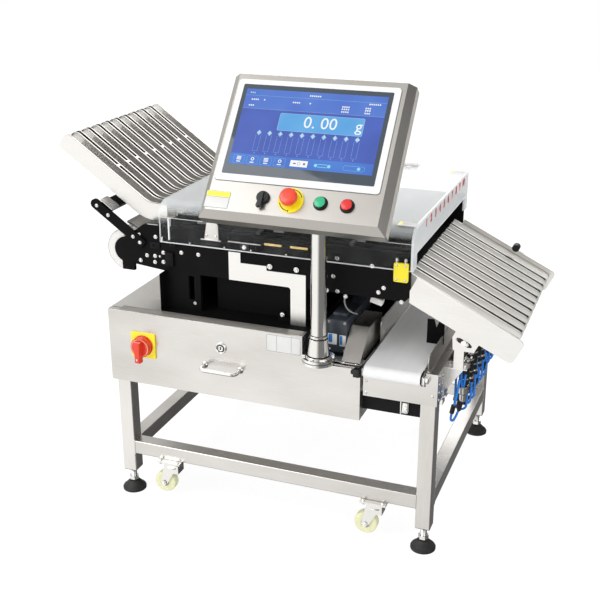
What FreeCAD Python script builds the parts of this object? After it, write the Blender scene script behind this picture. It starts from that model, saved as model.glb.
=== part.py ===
"""Ten-lane checkweigher for stick packs, with infeed and outfeed chutes and a reject conveyor.

X runs with the products, from the infeed on the left to the outfeed on the right.
Y runs from the operator's side to the rear, and Z is up.  All lengths are millimetres.
"""
import FreeCAD, Part
import math
import os

V = FreeCAD.Vector
X_AXIS = V(1, 0, 0)
Y_AXIS = V(0, 1, 0)
Z_AXIS = V(0, 0, 1)

# Base frame of square tube
FRAME_LENGTH = 890.0
FRAME_DEPTH = 720.0
TUBE = 40.0
TUBE_CORNER = 3.0
LEG_BOTTOM = 68.0
RAIL_TOP = 163.0

# Levelling feet
FOOT_RADIUS = 33.0
FOOT_RIM = 6.0
FOOT_HEIGHT = 26.0
STUD_RADIUS = 8.0
NUT_WIDTH = 24.0
NUT_HEIGHT = 10.0
NUT_RAISE = 4.0

# Swivel casters
CASTER_INSET = 150.0
CASTER_PLATE = 70.0
CASTER_PLATE_THICK = 5.0
CASTER_RAISE = 15.0
WHEEL_RADIUS = 31.0
WHEEL_WIDTH = 26.0
WHEEL_ROUND = 5.0
CASTER_TRAIL = 24.0
FORK_WALL = 3.0
FORK_GAP = 1.5
FORK_TIP = 11.0
AXLE_RADIUS = 5.0
AXLE_CLEARANCE = 0.3
SWIVEL_RADIUS = 21.0
SWIVEL_HEIGHT = 9.0
SWIVEL_GAP = 0.3

# Electrical cabinet with its drawer front
CABINET_OVERHANG = 10.0
CABINET_LEFT = -CABINET_OVERHANG
REJECT_BAY = 192.0
CABINET_RIGHT = FRAME_LENGTH - REJECT_BAY
CABINET_BOTTOM = 352.5
CABINET_HEIGHT = 205.5
CABINET_TOP = CABINET_BOTTOM + CABINET_HEIGHT
STEP_LENGTH = 153.5
STEP_X = CABINET_RIGHT - STEP_LENGTH
STEP_DROP = 61.0
STEP_TOP = CABINET_TOP - STEP_DROP
CABINET_WALL = 2.0
FRONT_THICK = 18.0
FRONT_SEAM = 3.0
DRAWER_GAP = 5.0
TRAY_WALL = 2.0
TRAY_DEPTH = 420.0
TRAY_HEIGHT = 60.0
RUNNER_WIDTH = 12.0
RUNNER_HEIGHT = 30.0
RUNNER_RAISE = 20.0
RUNNER_PLAY = 0.3

# Fittings on the drawer front
HANDLE_SPAN = 101.0
HANDLE_REACH = 34.0
HANDLE_RADIUS = 5.0
HANDLE_X = 323.0
HANDLE_RISE = 85.5
HANDLE_Z = CABINET_BOTTOM + HANDLE_RISE
LOCK_X = 320.5
LOCK_RISE = 140.5
LOCK_Z = CABINET_BOTTOM + LOCK_RISE
LOCK_RADIUS = 13.0
LOCK_PROUD = 3.0
KEYWAY_WIDTH = 2.4
KEYWAY_LENGTH = 10.0
ISOLATOR_X = 94.0
ISOLATOR_RISE = 115.5
ISOLATOR_Z = CABINET_BOTTOM + ISOLATOR_RISE
ISOLATOR_PLATE = 70.0
ISOLATOR_PLATE_THICK = 4.0
ISOLATOR_RADIUS = 27.0
ISOLATOR_DISC = 20.0
ISOLATOR_SHAFT = 7.0
GRIP_WIDTH = 16.0
GRIP_HEIGHT = 18.0
GRIP_LONG = 38.0
GRIP_SHORT = 20.0

# Post and operator panel
POST_STEP = 43.5
POST_X = STEP_X + POST_STEP
POST_Y = -10.0
POST_RADIUS = 20.0
CONE_RADIUS = 28.5
CONE_LIP = 3.0
CONE_HEIGHT = 46.0
FLANGE_RADIUS = 41.0
FLANGE_HEIGHT = 16.0
PANEL_SIDE = 18.0
PANEL_X = POST_X - PANEL_SIDE
PANEL_Y = -41.0
PANEL_RISE = 585.0
PANEL_Z = STEP_TOP + PANEL_RISE
PANEL_TILT = 38.3
PANEL_LEFT = -220.0
PANEL_RIGHT = 226.0
PANEL_LOW = -230.0
PANEL_HIGH = 137.0
PANEL_DEPTH = 45.0
PANEL_BEVEL = 17.0
SCREEN_WIDTH = 396.0
SCREEN_LOW = -139.0
SCREEN_HIGH = 122.0
SCREEN_PROUD = 3.0
SCREEN_CORNER = 8.0
BUTTON_LINE = -173.0
KEY_U = -67.0
ESTOP_U = 0.0
GREEN_U = 70.0
RED_U = 132.0
BUTTON_RADIUS = 11.0
BEZEL_RADIUS = 15.0
BEZEL_HEIGHT = 6.0
BEZEL_WALL = 1.5
BARREL_DEPTH = 18.0
SEAT_DEPTH = 20.0
BORE_DEPTH = 12.0
BUTTON_GAP = 0.3
BUTTON_ROOT = 5.0
BUTTON_HEIGHT = 13.0
HUB_HEIGHT = 16.0
LEVER_WIDTH = 7.0
LEVER_LENGTH = 34.0
LEVER_OVERHANG = 24.0
LEVER_HEIGHT = 8.0
ESTOP_RADIUS = 20.0
ESTOP_HEIGHT = 12.0
ESTOP_LIFT = 17.0
ESTOP_ROUND = 4.0
COLLAR_RADIUS = 30.0
COLLAR_HEIGHT = 3.0
COLLAR_WALL = 3.0

# Lanes
LANES = 10
LANE_MARGIN_FRONT = 22.0
LANE_MARGIN_BACK = 62.0
PLATE_FRONT = 58.0
PLATE_THICK = 10.0
LANE_FRONT = PLATE_FRONT + PLATE_THICK + LANE_MARGIN_FRONT
LANE_ROOM = FRAME_DEPTH - PLATE_FRONT - PLATE_THICK - LANE_MARGIN_BACK - LANE_FRONT
LANE_PITCH = LANE_ROOM / LANES
LANE_BACK = LANE_FRONT + LANES * LANE_PITCH
SHEET = 1.5
LANE_GAP = 3.0
BELT_TOP = 772.0
BELT_THICK = 26.0
BELT_SPACE = 6.0
BELT_PLAY = 1.0
GUIDE_HEIGHT = 24.0

# Transport side plates and their supports
PLATE_LEFT = 18.0
PLATE_SHORT = 92.0
PLATE_RIGHT = FRAME_LENGTH - PLATE_SHORT
PLATE_RISE = 11.0
PLATE_TOP = BELT_TOP + PLATE_RISE
PLATE_DROP = 112.0
PLATE_LOW = BELT_TOP - PLATE_DROP
PLATE_CUT = 12.0
END_RADIUS = 35.0
END_DROP = 66.0
END_Z = BELT_TOP - END_DROP
LEG_LEFT = 133.0
LEG_RIGHT = 234.0
SLOT_LEFT = 200.0
SLOT_RIGHT = 216.0
SLOT_RISE = 30.0
SLOT_LOW = CABINET_TOP + SLOT_RISE
SLOT_ROOF = 6.0
SLOT_HIGH = PLATE_LOW - SLOT_ROOF
BRIDGE_THICK = 4.0
BRIDGE_LEFT = 319.0
BRIDGE_INSET = 14.5
BRIDGE_RIGHT = STEP_X - BRIDGE_INSET
BRIDGE_LEG = 41.0
BRIDGE_NECK = 33.0
BRIDGE_WAIST = 105.0
BRIDGE_DROP = 47.0
BRIDGE_TOP = PLATE_TOP - BRIDGE_DROP
SHOULDER_DROP = 74.0
BRIDGE_SHOULDER = PLATE_TOP - SHOULDER_DROP
BRIDGE_STEP_DROP = 86.0
BRIDGE_STEP = PLATE_TOP - BRIDGE_STEP_DROP
BRIDGE_LOW = PLATE_LOW
BRIDGE_ROUND = 8.0
GUARD_RADIUS = 56.0
GUARD_THICK = 3.0
TAB_LEFT = 14.0
TAB_RIGHT = 22.0
TAB_OVERLAP = 8.0
LANE_OUTLET = 60.0
BASE_RISE = 20.0
BASE_INSET = 30.0
BELT_SHORT = 108.0
BELT_SPLIT = (134.0, 330.0, 556.0, PLATE_RIGHT - BELT_SHORT)

# Infeed chute
IN_TOP_X = -190.0
IN_KNEE_X = 60.0
KNEE_RISE = 13.0
IN_KNEE_Z = BELT_TOP + KNEE_RISE
IN_RISE = 178.5
IN_TOP_Z = IN_KNEE_Z + IN_RISE
IN_END_X = 128.0
IN_WALL = 47.0
IN_RADIUS = 110.0
IN_ROUND = 20.0
CARRIER_LEFT = 20.0
CARRIER_DIP = 57.0
CARRIER_RISE = 86.0
CARRIER_RIGHT = 116.0
CARRIER_THICK = 5.0

# Photo-sensor arms under the infeed chute
ARM_WIDTH = 26.0
ARM_THICK = 8.0
ARM_HEEL = 40.0
ARM_REACH_X = -64.0
ARM_DROP = 48.0
ARM_ROOT_X = 42.0
ARM_ROOT_DROP = 22.5
ARM_ROOT_Z = BELT_TOP - ARM_ROOT_DROP
SENSOR_START = 10.0
SENSOR_WIDTH = 34.0
SENSOR_THICK = 12.0
SENSOR_LIFT = 4.0

# Outfeed chute
OUT_CLEARANCE = 2.0
OUT_TOP_X = PLATE_RIGHT + OUT_CLEARANCE
OUT_RISE = 16.0
OUT_TOP_Z = PLATE_LOW + OUT_RISE
OUT_LENGTH = 290.0
OUT_SLOPE = 26.0
OUT_WALL = 38.0
CHANNEL_HEAD = 33.0
CHANNEL_SHORT = 10.0
OUT_SKIRT = 16.0
OUT_ROUND = 14.0
OUT_SIDE_THICK = 3.0
OUT_SIDE_HEAD = 8.0
OUT_SIDE_TAIL = 1.0
OUT_SIDE_RISE = 13.0
STRAP_START = 140.0
STRAP_WIDTH = 56.0
EAR_START = 150.0
EAR_WIDTH = 36.0
EAR_DROP = 46.0

# Cover
COVER_LEFT = 126.0
COVER_REACH = 8.0
COVER_RIGHT = PLATE_RIGHT + COVER_REACH
COVER_FRONT = 48.0
COVER_DROP = 30.0
COVER_LOW = BELT_TOP - COVER_DROP
COVER_RISE = 78.0
COVER_TOP = BELT_TOP + COVER_RISE
COVER_BEND = 40.0
COVER_THICK = 5.0
COVER_INSET = 30.0
COVER_BACK = FRAME_DEPTH - COVER_INSET
COVER_FIXED = 35.0
COVER_SPLIT = COVER_BACK - COVER_FIXED
COVER_GAP = 3.0
COVER_FOOT = 8.0
END_STRIP = 70.0
END_LEG = 35.0
HINGE_RADIUS = 5.0
HINGE_LENGTH = 46.0
HINGE_LIFT = 1.0
HINGE_PIN = 2.0
HINGE_PLAY = 0.3
LEAF_LENGTH = 26.0
LEAF_THICK = 3.0
HINGE_PLACES = (240.0, 632.0)

# Reject conveyor
BELT_MARGIN = 11.0
BELT_LEFT = CABINET_RIGHT + BELT_MARGIN
BELT_INSET = 38.0
BELT_RIGHT = FRAME_LENGTH - BELT_INSET
BELT_FRAME = 3.0
AXLE_STUB = 6.0
ROLLER_AXLE = 6.0
ROLLER_RADIUS = 15.0
REJECT_BELT_THICK = 2.0
REJECT_RAISE = 4.0
RAIL_DROP = 88.0
UPPER_RAIL_TOP = CABINET_TOP - RAIL_DROP
REJECT_TOP = UPPER_RAIL_TOP + REJECT_RAISE + 2 * (ROLLER_RADIUS + REJECT_BELT_THICK)
REJECT_FRONT = -24.0
REJECT_SHORT = 80.0
REJECT_BACK = FRAME_DEPTH - REJECT_SHORT
BED_DROP = 3.0
BED_INSET = 8.0
RAIL_HALF = 10.0
FRAME_FOOT = 26.0
CROSS_RAIL_IN = 160.0
CROSS_RAIL_Y = FRAME_DEPTH - CROSS_RAIL_IN
GUIDE_SHEET = 2.0
GUIDE_DIP = 14.0
LEFT_GUIDE_FRONT = 150.0
LEFT_GUIDE_RISE = 56.0
RIGHT_GUIDE_FRONT = 30.0
RIGHT_GUIDE_RISE = 28.0
APRON_THICK = 2.0
APRON_DROP = 49.0
APRON_LOW = UPPER_RAIL_TOP - APRON_DROP
APRON_TAB = 30.0
APRON_TAB_RISE = 36.0
BAR_LOW_DROP = 93.0
DRIVE_BAR_LOW = UPPER_RAIL_TOP - BAR_LOW_DROP
BAR_TOP_DROP = 56.0
DRIVE_BAR_TOP = UPPER_RAIL_TOP - BAR_TOP_DROP
DRIVE_BAR_FRONT = 14.0
DRIVE_BAR_BACK = 36.0

# Hood and gear motor on the cabinet's low step
HOOD_INSET = 8.0
HOOD_RIGHT = CABINET_RIGHT - HOOD_INSET
HOOD_WIDTH = 48.0
HOOD_WALL = 2.0
HOOD_FRONT = 9.0
HOOD_BROW = 90.0
HOOD_BACK = 200.0
HOOD_HEIGHT = 70.0
MOTOR_GAP = 3.0
MOTOR_WIDTH = 54.0
MOTOR_FRONT = 62.0
MOTOR_BACK = 190.0
MOTOR_HEIGHT = 90.0
MOTOR_RADIUS = 25.0
MOTOR_TAIL = 90.0

# Brackets of the outfeed chute; plate corners are along and square to the chute's slope
SHELF_RISE = 30.0
SHELF_THICK = 3.0
SHELF_WIDTH = 56.0
SHELF_DEPTH = 40.0
SHELF_LAP = 6.0
GUSSET_FOOT = 72.0
CLAMP_THICK = 3.0
FRONT_CLAMP = ((137.0, -35.0), (137.0, -6.0), (201.0, -6.0), (201.0, -42.0), (154.0, -64.0))
REAR_CLAMP = ((150.0, -60.0), (150.0, 52.0), (187.0, 52.0), (187.0, -60.0))
FRONT_SLOT = (168.0, -32.5)
REAR_SLOT = (171.0, 36.0)
FRONT_SLOT_LENGTH = 34.0
REAR_SLOT_LENGTH = 10.0
CLAMP_SLOT_WIDTH = 9.0
CLAMP_WEB_LEFT = 22.0
CLAMP_WEB_RIGHT = 46.0
CLAMP_WEB_TOP = 88.0
KNOB_RADIUS = 13.0
KNOB_HEIGHT = 14.0
BOLT_RADIUS = 7.0
BOLT_HEIGHT = 5.0
CLAMP_STUD = 4.0

# Air valves and tubes under the outfeed chute
MANIFOLD_DEPTH = 30.0
MANIFOLD_HEIGHT = 26.0
MANIFOLD_END = 20.0
VALVE_REACH = 42.0
VALVE_RADIUS = 11.0
VALVE_HEIGHT = 62.0
VALVE_DROP = 30.0
VALVE_NECK = 8.0
TUBE_RADIUS = 3.0
TUBE_BEND = 15.0
TUBE_DROP = 58.0
TUBE_SPREAD = 8.0


def box(x0, x1, y0, y1, z0, z1):
    """A block between two corners."""
    return Part.makeBox(x1 - x0, y1 - y0, z1 - z0, V(x0, y0, z0))


def rod(radius, start, direction, length):
    """A round bar from a start point."""
    return Part.makeCylinder(radius, length, start, direction)


def plate_xz(points, y0, y1):
    """A plate whose outline lies in the XZ plane, from y0 to y1."""
    wire = Part.makePolygon([V(x, y0, z) for x, z in points + points[:1]])
    return Part.Face(wire).extrude(V(0, y1 - y0, 0))


def plate_yz(points, x0, x1):
    """A plate whose outline lies in the YZ plane, from x0 to x1."""
    wire = Part.makePolygon([V(x0, y, z) for y, z in points + points[:1]])
    return Part.Face(wire).extrude(V(x1 - x0, 0, 0))


def mirror_y(shape):
    """The same piece on the rear side of the frame."""
    return shape.mirror(V(0, FRAME_DEPTH / 2, 0), Y_AXIS)


def both_sides(shape):
    """A piece and its mirror image at the rear."""
    return Part.makeCompound([shape, mirror_y(shape)])


def on_panel(shape):
    """Place a piece drawn flat (X right, Y up the panel, Z out of it) on the operator panel."""
    turned = shape.copy()
    turned.rotate(V(0, 0, 0), X_AXIS, 90 - PANEL_TILT)
    turned.translate(V(PANEL_X, PANEL_Y, PANEL_Z))
    return turned


def leg_corners():
    """The lower left corner of each leg, seen from above."""
    return [(x, y) for x in (0.0, FRAME_LENGTH - TUBE) for y in (0.0, FRAME_DEPTH - TUBE)]


def tube_bar(x0, x1, y0, y1, z0, z1):
    """A square tube with rounded long edges; its length is the longest of its three sides."""
    bar = box(x0, x1, y0, y1, z0, z1)
    length = max(x1 - x0, y1 - y0, z1 - z0)
    return bar.makeFillet(TUBE_CORNER, [e for e in bar.Edges if e.Length > length - 0.01])


def make_legs():
    """Four square legs; the left pair carries the cabinet, the right pair the conveyor."""
    legs = []
    for x, y in leg_corners():
        top = CABINET_BOTTOM if x == 0.0 else UPPER_RAIL_TOP
        legs.append(tube_bar(x, x + TUBE, y, y + TUBE, LEG_BOTTOM, top))
    return Part.makeCompound(legs)


def make_lower_rails():
    """Four rails between the legs near the floor."""
    z0 = RAIL_TOP - TUBE
    inner_x = FRAME_LENGTH - TUBE
    inner_y = FRAME_DEPTH - TUBE
    front = tube_bar(TUBE, inner_x, 0, TUBE, z0, RAIL_TOP)
    left = tube_bar(0, TUBE, TUBE, inner_y, z0, RAIL_TOP)
    right = tube_bar(inner_x, FRAME_LENGTH, TUBE, inner_y, z0, RAIL_TOP)
    return Part.makeCompound([front, mirror_y(front), left, right])


def make_upper_rails():
    """Rails of the right bay, between the cabinet and the right legs."""
    z0 = UPPER_RAIL_TOP - TUBE
    inner_x = FRAME_LENGTH - TUBE
    front = tube_bar(CABINET_RIGHT + DRAWER_GAP, inner_x, 0, TUBE, z0, UPPER_RAIL_TOP)
    right = tube_bar(inner_x, FRAME_LENGTH, TUBE, FRAME_DEPTH - TUBE, z0, UPPER_RAIL_TOP)
    cross = tube_bar(CABINET_RIGHT, inner_x, CROSS_RAIL_Y, CROSS_RAIL_Y + TUBE, z0, UPPER_RAIL_TOP)
    return Part.makeCompound([front, mirror_y(front), right, cross])


def make_foot_discs():
    """Domed rubber feet on the floor."""
    discs = []
    for x, y in leg_corners():
        centre = V(x + TUBE / 2, y + TUBE / 2, 0)
        rim = rod(FOOT_RADIUS, centre, Z_AXIS, FOOT_RIM)
        dome = Part.makeCone(FOOT_RADIUS, STUD_RADIUS + FOOT_RIM, FOOT_HEIGHT - FOOT_RIM,
                             centre + V(0, 0, FOOT_RIM))
        discs.append(rim.fuse(dome).removeSplitter())
    return Part.makeCompound(discs)


def make_foot_studs():
    """Threaded studs with a lock nut, between the feet and the legs."""
    studs = []
    for x, y in leg_corners():
        centre = V(x + TUBE / 2, y + TUBE / 2, FOOT_HEIGHT)
        stud = rod(STUD_RADIUS, centre, Z_AXIS, LEG_BOTTOM - FOOT_HEIGHT)
        nut = hexagon(NUT_WIDTH, NUT_HEIGHT, centre + V(0, 0, NUT_RAISE))
        studs.append(stud.fuse(nut))
    return Part.makeCompound(studs)


def hexagon(width, height, base):
    """A hexagon prism across its flats, standing on a base point."""
    radius = width / 2 / math.cos(math.radians(30))
    corners = [V(radius * math.cos(math.radians(60 * k)), radius * math.sin(math.radians(60 * k)), 0) + base
               for k in range(7)]
    return Part.Face(Part.makePolygon(corners)).extrude(V(0, 0, height))


def caster_places():
    """Name, X and Y of each caster's swivel axis, under the front and rear rails."""
    left = CASTER_INSET
    right = FRAME_LENGTH - CASTER_INSET
    back = FRAME_DEPTH - TUBE / 2
    return [("fl", left, TUBE / 2), ("fr", right, TUBE / 2), ("bl", left, back), ("br", right, back)]


def make_caster_plates():
    """Mounting plates with the swivel pin, under the rails."""
    plates = []
    z1 = RAIL_TOP - TUBE
    half = CASTER_PLATE / 2
    for _, x, y in caster_places():
        plate = box(x - half, x + half, y - half, y + half, z1 - CASTER_PLATE_THICK, z1)
        pin = rod(AXLE_RADIUS, V(x, y, z1 - CASTER_PLATE_THICK - SWIVEL_HEIGHT), Z_AXIS, SWIVEL_HEIGHT)
        plates.append(plate.fuse(pin))
    return Part.makeCompound(plates)


def make_caster_fork(x, y):
    """A pressed fork with its bearing ring and its axle."""
    top = RAIL_TOP - TUBE - CASTER_PLATE_THICK - SWIVEL_GAP
    crown_low = top - SWIVEL_HEIGHT
    axle_z = CASTER_RAISE + WHEEL_RADIUS
    axle_x = x - CASTER_TRAIL
    half = WHEEL_WIDTH / 2 + FORK_GAP
    ring = rod(SWIVEL_RADIUS, V(x, y, crown_low), Z_AXIS, SWIVEL_HEIGHT)
    crown_z = axle_z + WHEEL_RADIUS + FORK_WALL
    neck = box(x - SWIVEL_RADIUS, x + SWIVEL_RADIUS, y - half - FORK_WALL, y + half + FORK_WALL,
               crown_z, crown_low)
    fork = ring.fuse(neck)
    for side in (-1, 1):
        y0 = y + side * half if side > 0 else y - half - FORK_WALL
        outline = [(x + SWIVEL_RADIUS, crown_low), (axle_x + FORK_TIP, axle_z), (axle_x, axle_z - FORK_TIP),
                   (axle_x - FORK_TIP, axle_z), (x - SWIVEL_RADIUS, crown_low)]
        fork = fork.fuse(plate_xz(outline, y0, y0 + FORK_WALL))
    reach = half + 2 * FORK_WALL
    axle = rod(AXLE_RADIUS, V(axle_x, y - reach, axle_z), Y_AXIS, 2 * reach)
    hole = rod(AXLE_RADIUS + AXLE_CLEARANCE, V(x, y, crown_low - 1), Z_AXIS, SWIVEL_HEIGHT + 2)
    return fork.fuse(axle).cut(hole).removeSplitter()


def make_caster_wheel(x, y):
    """A nylon wheel with rounded shoulders and a bore for its axle."""
    centre = V(x - CASTER_TRAIL, y - WHEEL_WIDTH / 2, CASTER_RAISE + WHEEL_RADIUS)
    wheel = rod(WHEEL_RADIUS, centre, Y_AXIS, WHEEL_WIDTH)
    wheel = wheel.makeFillet(WHEEL_ROUND, [e for e in wheel.Edges if e.Curve.TypeId == "Part::GeomCircle"])
    return wheel.cut(rod(AXLE_RADIUS + AXLE_CLEARANCE, centre - V(0, 1, 0), Y_AXIS, WHEEL_WIDTH + 2))


def cabinet_outline(inset, step_top=STEP_TOP):
    """The stepped front view of the cabinet, set in by a wall."""
    return [(CABINET_LEFT + inset, CABINET_BOTTOM + inset), (CABINET_RIGHT - inset, CABINET_BOTTOM + inset),
            (CABINET_RIGHT - inset, step_top - inset), (STEP_X - inset, step_top - inset),
            (STEP_X - inset, CABINET_TOP - inset), (CABINET_LEFT + inset, CABINET_TOP - inset)]


def make_cabinet_shell():
    """The stepped sheet cabinet, open at the front for its drawer, with runners inside."""
    y0 = -CABINET_OVERHANG + FRONT_THICK + FRONT_SEAM
    y1 = FRAME_DEPTH + CABINET_OVERHANG
    shell = plate_xz(cabinet_outline(0), y0, y1)
    shell = shell.cut(plate_xz(cabinet_outline(CABINET_WALL), y0 - 1, y1 - CABINET_WALL))
    runner_z = CABINET_BOTTOM + RUNNER_RAISE
    runners = []
    for x0 in (CABINET_LEFT + CABINET_WALL, CABINET_RIGHT - CABINET_WALL - RUNNER_WIDTH):
        runners.append(box(x0, x0 + RUNNER_WIDTH, y0 + DRAWER_GAP, y0 + TRAY_DEPTH,
                           runner_z, runner_z + RUNNER_HEIGHT))
    for runner in runners:
        shell = shell.fuse(runner)
    return shell.removeSplitter()


def make_drawer_front():
    """The folded front panel of the drawer; its low part passes under the post's flange."""
    y0 = -CABINET_OVERHANG
    low = STEP_TOP - DRAWER_GAP
    panel = plate_xz(cabinet_outline(0, low), y0, y0 + FRONT_THICK)
    inner = plate_xz(cabinet_outline(CABINET_WALL, low), y0 + CABINET_WALL, y0 + FRONT_THICK + 1)
    return panel.cut(inner)


def make_drawer_tray():
    """The open tray behind the front panel, running between the runners."""
    side = CABINET_WALL + RUNNER_WIDTH + RUNNER_PLAY
    x0 = CABINET_LEFT + side
    x1 = CABINET_RIGHT - side
    y0 = -CABINET_OVERHANG + CABINET_WALL
    y1 = y0 + TRAY_DEPTH
    z0 = CABINET_BOTTOM + CABINET_WALL + DRAWER_GAP
    tray = box(x0, x1, y0, y1, z0, z0 + TRAY_HEIGHT)
    hollow = box(x0 + TRAY_WALL, x1 - TRAY_WALL, y0 + TRAY_WALL, y1 - TRAY_WALL, z0 + TRAY_WALL,
                 z0 + TRAY_HEIGHT + 1)
    return tray.cut(hollow)


def make_drawer_handle():
    """A round bar handle bent at both ends."""
    y0 = -CABINET_OVERHANG
    half = HANDLE_SPAN / 2
    bend = 3 * HANDLE_RADIUS
    left = HANDLE_X - half
    right = HANDLE_X + half
    tip = y0 - HANDLE_REACH
    z = HANDLE_Z
    p = [V(left, y0, z), V(left, tip + bend, z), V(left + bend, tip, z), V(right - bend, tip, z),
         V(right, tip + bend, z), V(right, y0, z)]
    k = bend * (1 - math.sqrt(0.5))
    edges = [Part.LineSegment(p[0], p[1]).toShape(),
             Part.Arc(p[1], V(left + k, tip + k, z), p[2]).toShape(),
             Part.LineSegment(p[2], p[3]).toShape(),
             Part.Arc(p[3], V(right - k, tip + k, z), p[4]).toShape(),
             Part.LineSegment(p[4], p[5]).toShape()]
    path = Part.Wire(edges)
    ring = Part.Wire(Part.makeCircle(HANDLE_RADIUS, p[0], Y_AXIS))
    return path.makePipeShell([ring], True, False)


def make_drawer_lock():
    """The round cam lock in the drawer front."""
    y0 = -CABINET_OVERHANG
    half_width = KEYWAY_WIDTH / 2
    half_length = KEYWAY_LENGTH / 2
    face = rod(LOCK_RADIUS, V(LOCK_X, y0 - LOCK_PROUD, LOCK_Z), Y_AXIS, LOCK_PROUD)
    keyway = box(LOCK_X - half_width, LOCK_X + half_width, y0 - 2 * LOCK_PROUD, y0 - LOCK_PROUD / 3,
                 LOCK_Z - half_length, LOCK_Z + half_length)
    return face.cut(keyway)


def make_isolator_plate():
    """The square plate behind the isolator's handle, with its shaft."""
    y0 = -CABINET_OVERHANG
    y1 = y0 - ISOLATOR_PLATE_THICK
    half = ISOLATOR_PLATE / 2
    plate = box(ISOLATOR_X - half, ISOLATOR_X + half, y1, y0, ISOLATOR_Z - half, ISOLATOR_Z + half)
    return plate.fuse(rod(ISOLATOR_SHAFT, V(ISOLATOR_X, y1 - 10, ISOLATOR_Z), Y_AXIS, 10))


def make_isolator_handle():
    """The rotary handle with its grip."""
    y0 = -CABINET_OVERHANG - ISOLATOR_PLATE_THICK - SWIVEL_GAP
    face = y0 - ISOLATOR_DISC
    half = GRIP_WIDTH / 2
    disc = rod(ISOLATOR_RADIUS, V(ISOLATOR_X, face, ISOLATOR_Z), Y_AXIS, ISOLATOR_DISC)
    grip = box(ISOLATOR_X - half, ISOLATOR_X + half, face - GRIP_HEIGHT, face,
               ISOLATOR_Z - GRIP_LONG, ISOLATOR_Z + GRIP_SHORT)
    outer = [e for e in grip.Edges if e.BoundBox.YMax < face - GRIP_HEIGHT + 1]
    grip = grip.makeFillet(half / 2, outer)
    hole = rod(ISOLATOR_SHAFT + AXLE_CLEARANCE, V(ISOLATOR_X, y0 - 10.5, ISOLATOR_Z), Y_AXIS, ISOLATOR_DISC)
    return disc.fuse(grip).cut(hole)


def make_hmi_post():
    """The tubular post with its cone and bolted flange, on the cabinet's low step."""
    base = V(POST_X, POST_Y, STEP_TOP)
    flange = rod(FLANGE_RADIUS, base, Z_AXIS, FLANGE_HEIGHT)
    cone = Part.makeCone(CONE_RADIUS, POST_RADIUS + CONE_LIP, CONE_HEIGHT, base + V(0, 0, FLANGE_HEIGHT))
    tube = rod(POST_RADIUS, base, Z_AXIS, PANEL_Z - STEP_TOP)
    wide = PANEL_RIGHT - PANEL_LEFT
    behind = on_panel(Part.makeBox(wide, wide, wide, V(PANEL_LEFT, PANEL_LOW, -PANEL_DEPTH)))
    return flange.fuse(cone).fuse(tube).cut(behind).removeSplitter()


def make_hmi_housing():
    """The tilted sheet housing with bevelled edges and seats for the controls."""
    w = PANEL_RIGHT - PANEL_LEFT
    h = PANEL_HIGH - PANEL_LOW
    body = Part.makeBox(w, h, PANEL_DEPTH, V(PANEL_LEFT, PANEL_LOW, -PANEL_DEPTH))
    rim = [e for e in body.Edges if e.BoundBox.ZMin > -1 and e.BoundBox.YMin < PANEL_HIGH - 1]
    body = body.makeChamfer(PANEL_BEVEL, rim)
    for u in (KEY_U, GREEN_U, RED_U, ESTOP_U):
        body = body.cut(Part.makeCylinder(BUTTON_RADIUS, 2 * SEAT_DEPTH, V(u, BUTTON_LINE, -SEAT_DEPTH)))
    return on_panel(body)


def make_hmi_screen():
    """The display with its light frame."""
    half = SCREEN_WIDTH / 2
    frame = Part.makeBox(SCREEN_WIDTH, SCREEN_HIGH - SCREEN_LOW, SCREEN_PROUD, V(-half, SCREEN_LOW, 0))
    upright = [e for e in frame.Edges if abs(e.BoundBox.ZLength) > SCREEN_PROUD / 2]
    return on_panel(frame.makeFillet(SCREEN_CORNER, upright))


def make_bezels():
    """Threaded bezels of the two push buttons and the key switch."""
    rings = []
    for u in (KEY_U, GREEN_U, RED_U):
        ring = Part.makeCylinder(BEZEL_RADIUS, BEZEL_HEIGHT, V(u, BUTTON_LINE, 0))
        barrel = Part.makeCylinder(BUTTON_RADIUS, BARREL_DEPTH, V(u, BUTTON_LINE, -BARREL_DEPTH))
        bore = Part.makeCylinder(BUTTON_RADIUS - BEZEL_WALL, 2 * SEAT_DEPTH, V(u, BUTTON_LINE, -BORE_DEPTH))
        rings.append(ring.fuse(barrel).cut(bore))
    return on_panel(Part.makeCompound(rings))


def make_push_button(u):
    """A flat push button that slides in its bezel."""
    radius = BUTTON_RADIUS - BEZEL_WALL - BUTTON_GAP
    return on_panel(Part.makeCylinder(radius, BUTTON_HEIGHT, V(u, BUTTON_LINE, -BUTTON_ROOT)))


def make_key_switch():
    """The black selector with its lever."""
    radius = BUTTON_RADIUS - BEZEL_WALL - BUTTON_GAP
    hub = Part.makeCylinder(radius, HUB_HEIGHT, V(KEY_U, BUTTON_LINE, -BUTTON_ROOT))
    corner = V(KEY_U - LEVER_WIDTH / 2, BUTTON_LINE - LEVER_OVERHANG, BEZEL_HEIGHT + 1)
    return on_panel(hub.fuse(Part.makeBox(LEVER_WIDTH, LEVER_LENGTH, LEVER_HEIGHT, corner)))


def make_estop_collar():
    """The yellow disc under the emergency stop."""
    disc = Part.makeCylinder(COLLAR_RADIUS, COLLAR_HEIGHT, V(ESTOP_U, BUTTON_LINE, 0))
    root = V(ESTOP_U, BUTTON_LINE, -BARREL_DEPTH)
    neck = Part.makeCylinder(BUTTON_RADIUS, BARREL_DEPTH + BEZEL_HEIGHT, root)
    seat = V(ESTOP_U, BUTTON_LINE, -BORE_DEPTH)
    bore = Part.makeCylinder(BUTTON_RADIUS - COLLAR_WALL, 2 * SEAT_DEPTH, seat)
    return on_panel(disc.fuse(neck).cut(bore))


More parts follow.
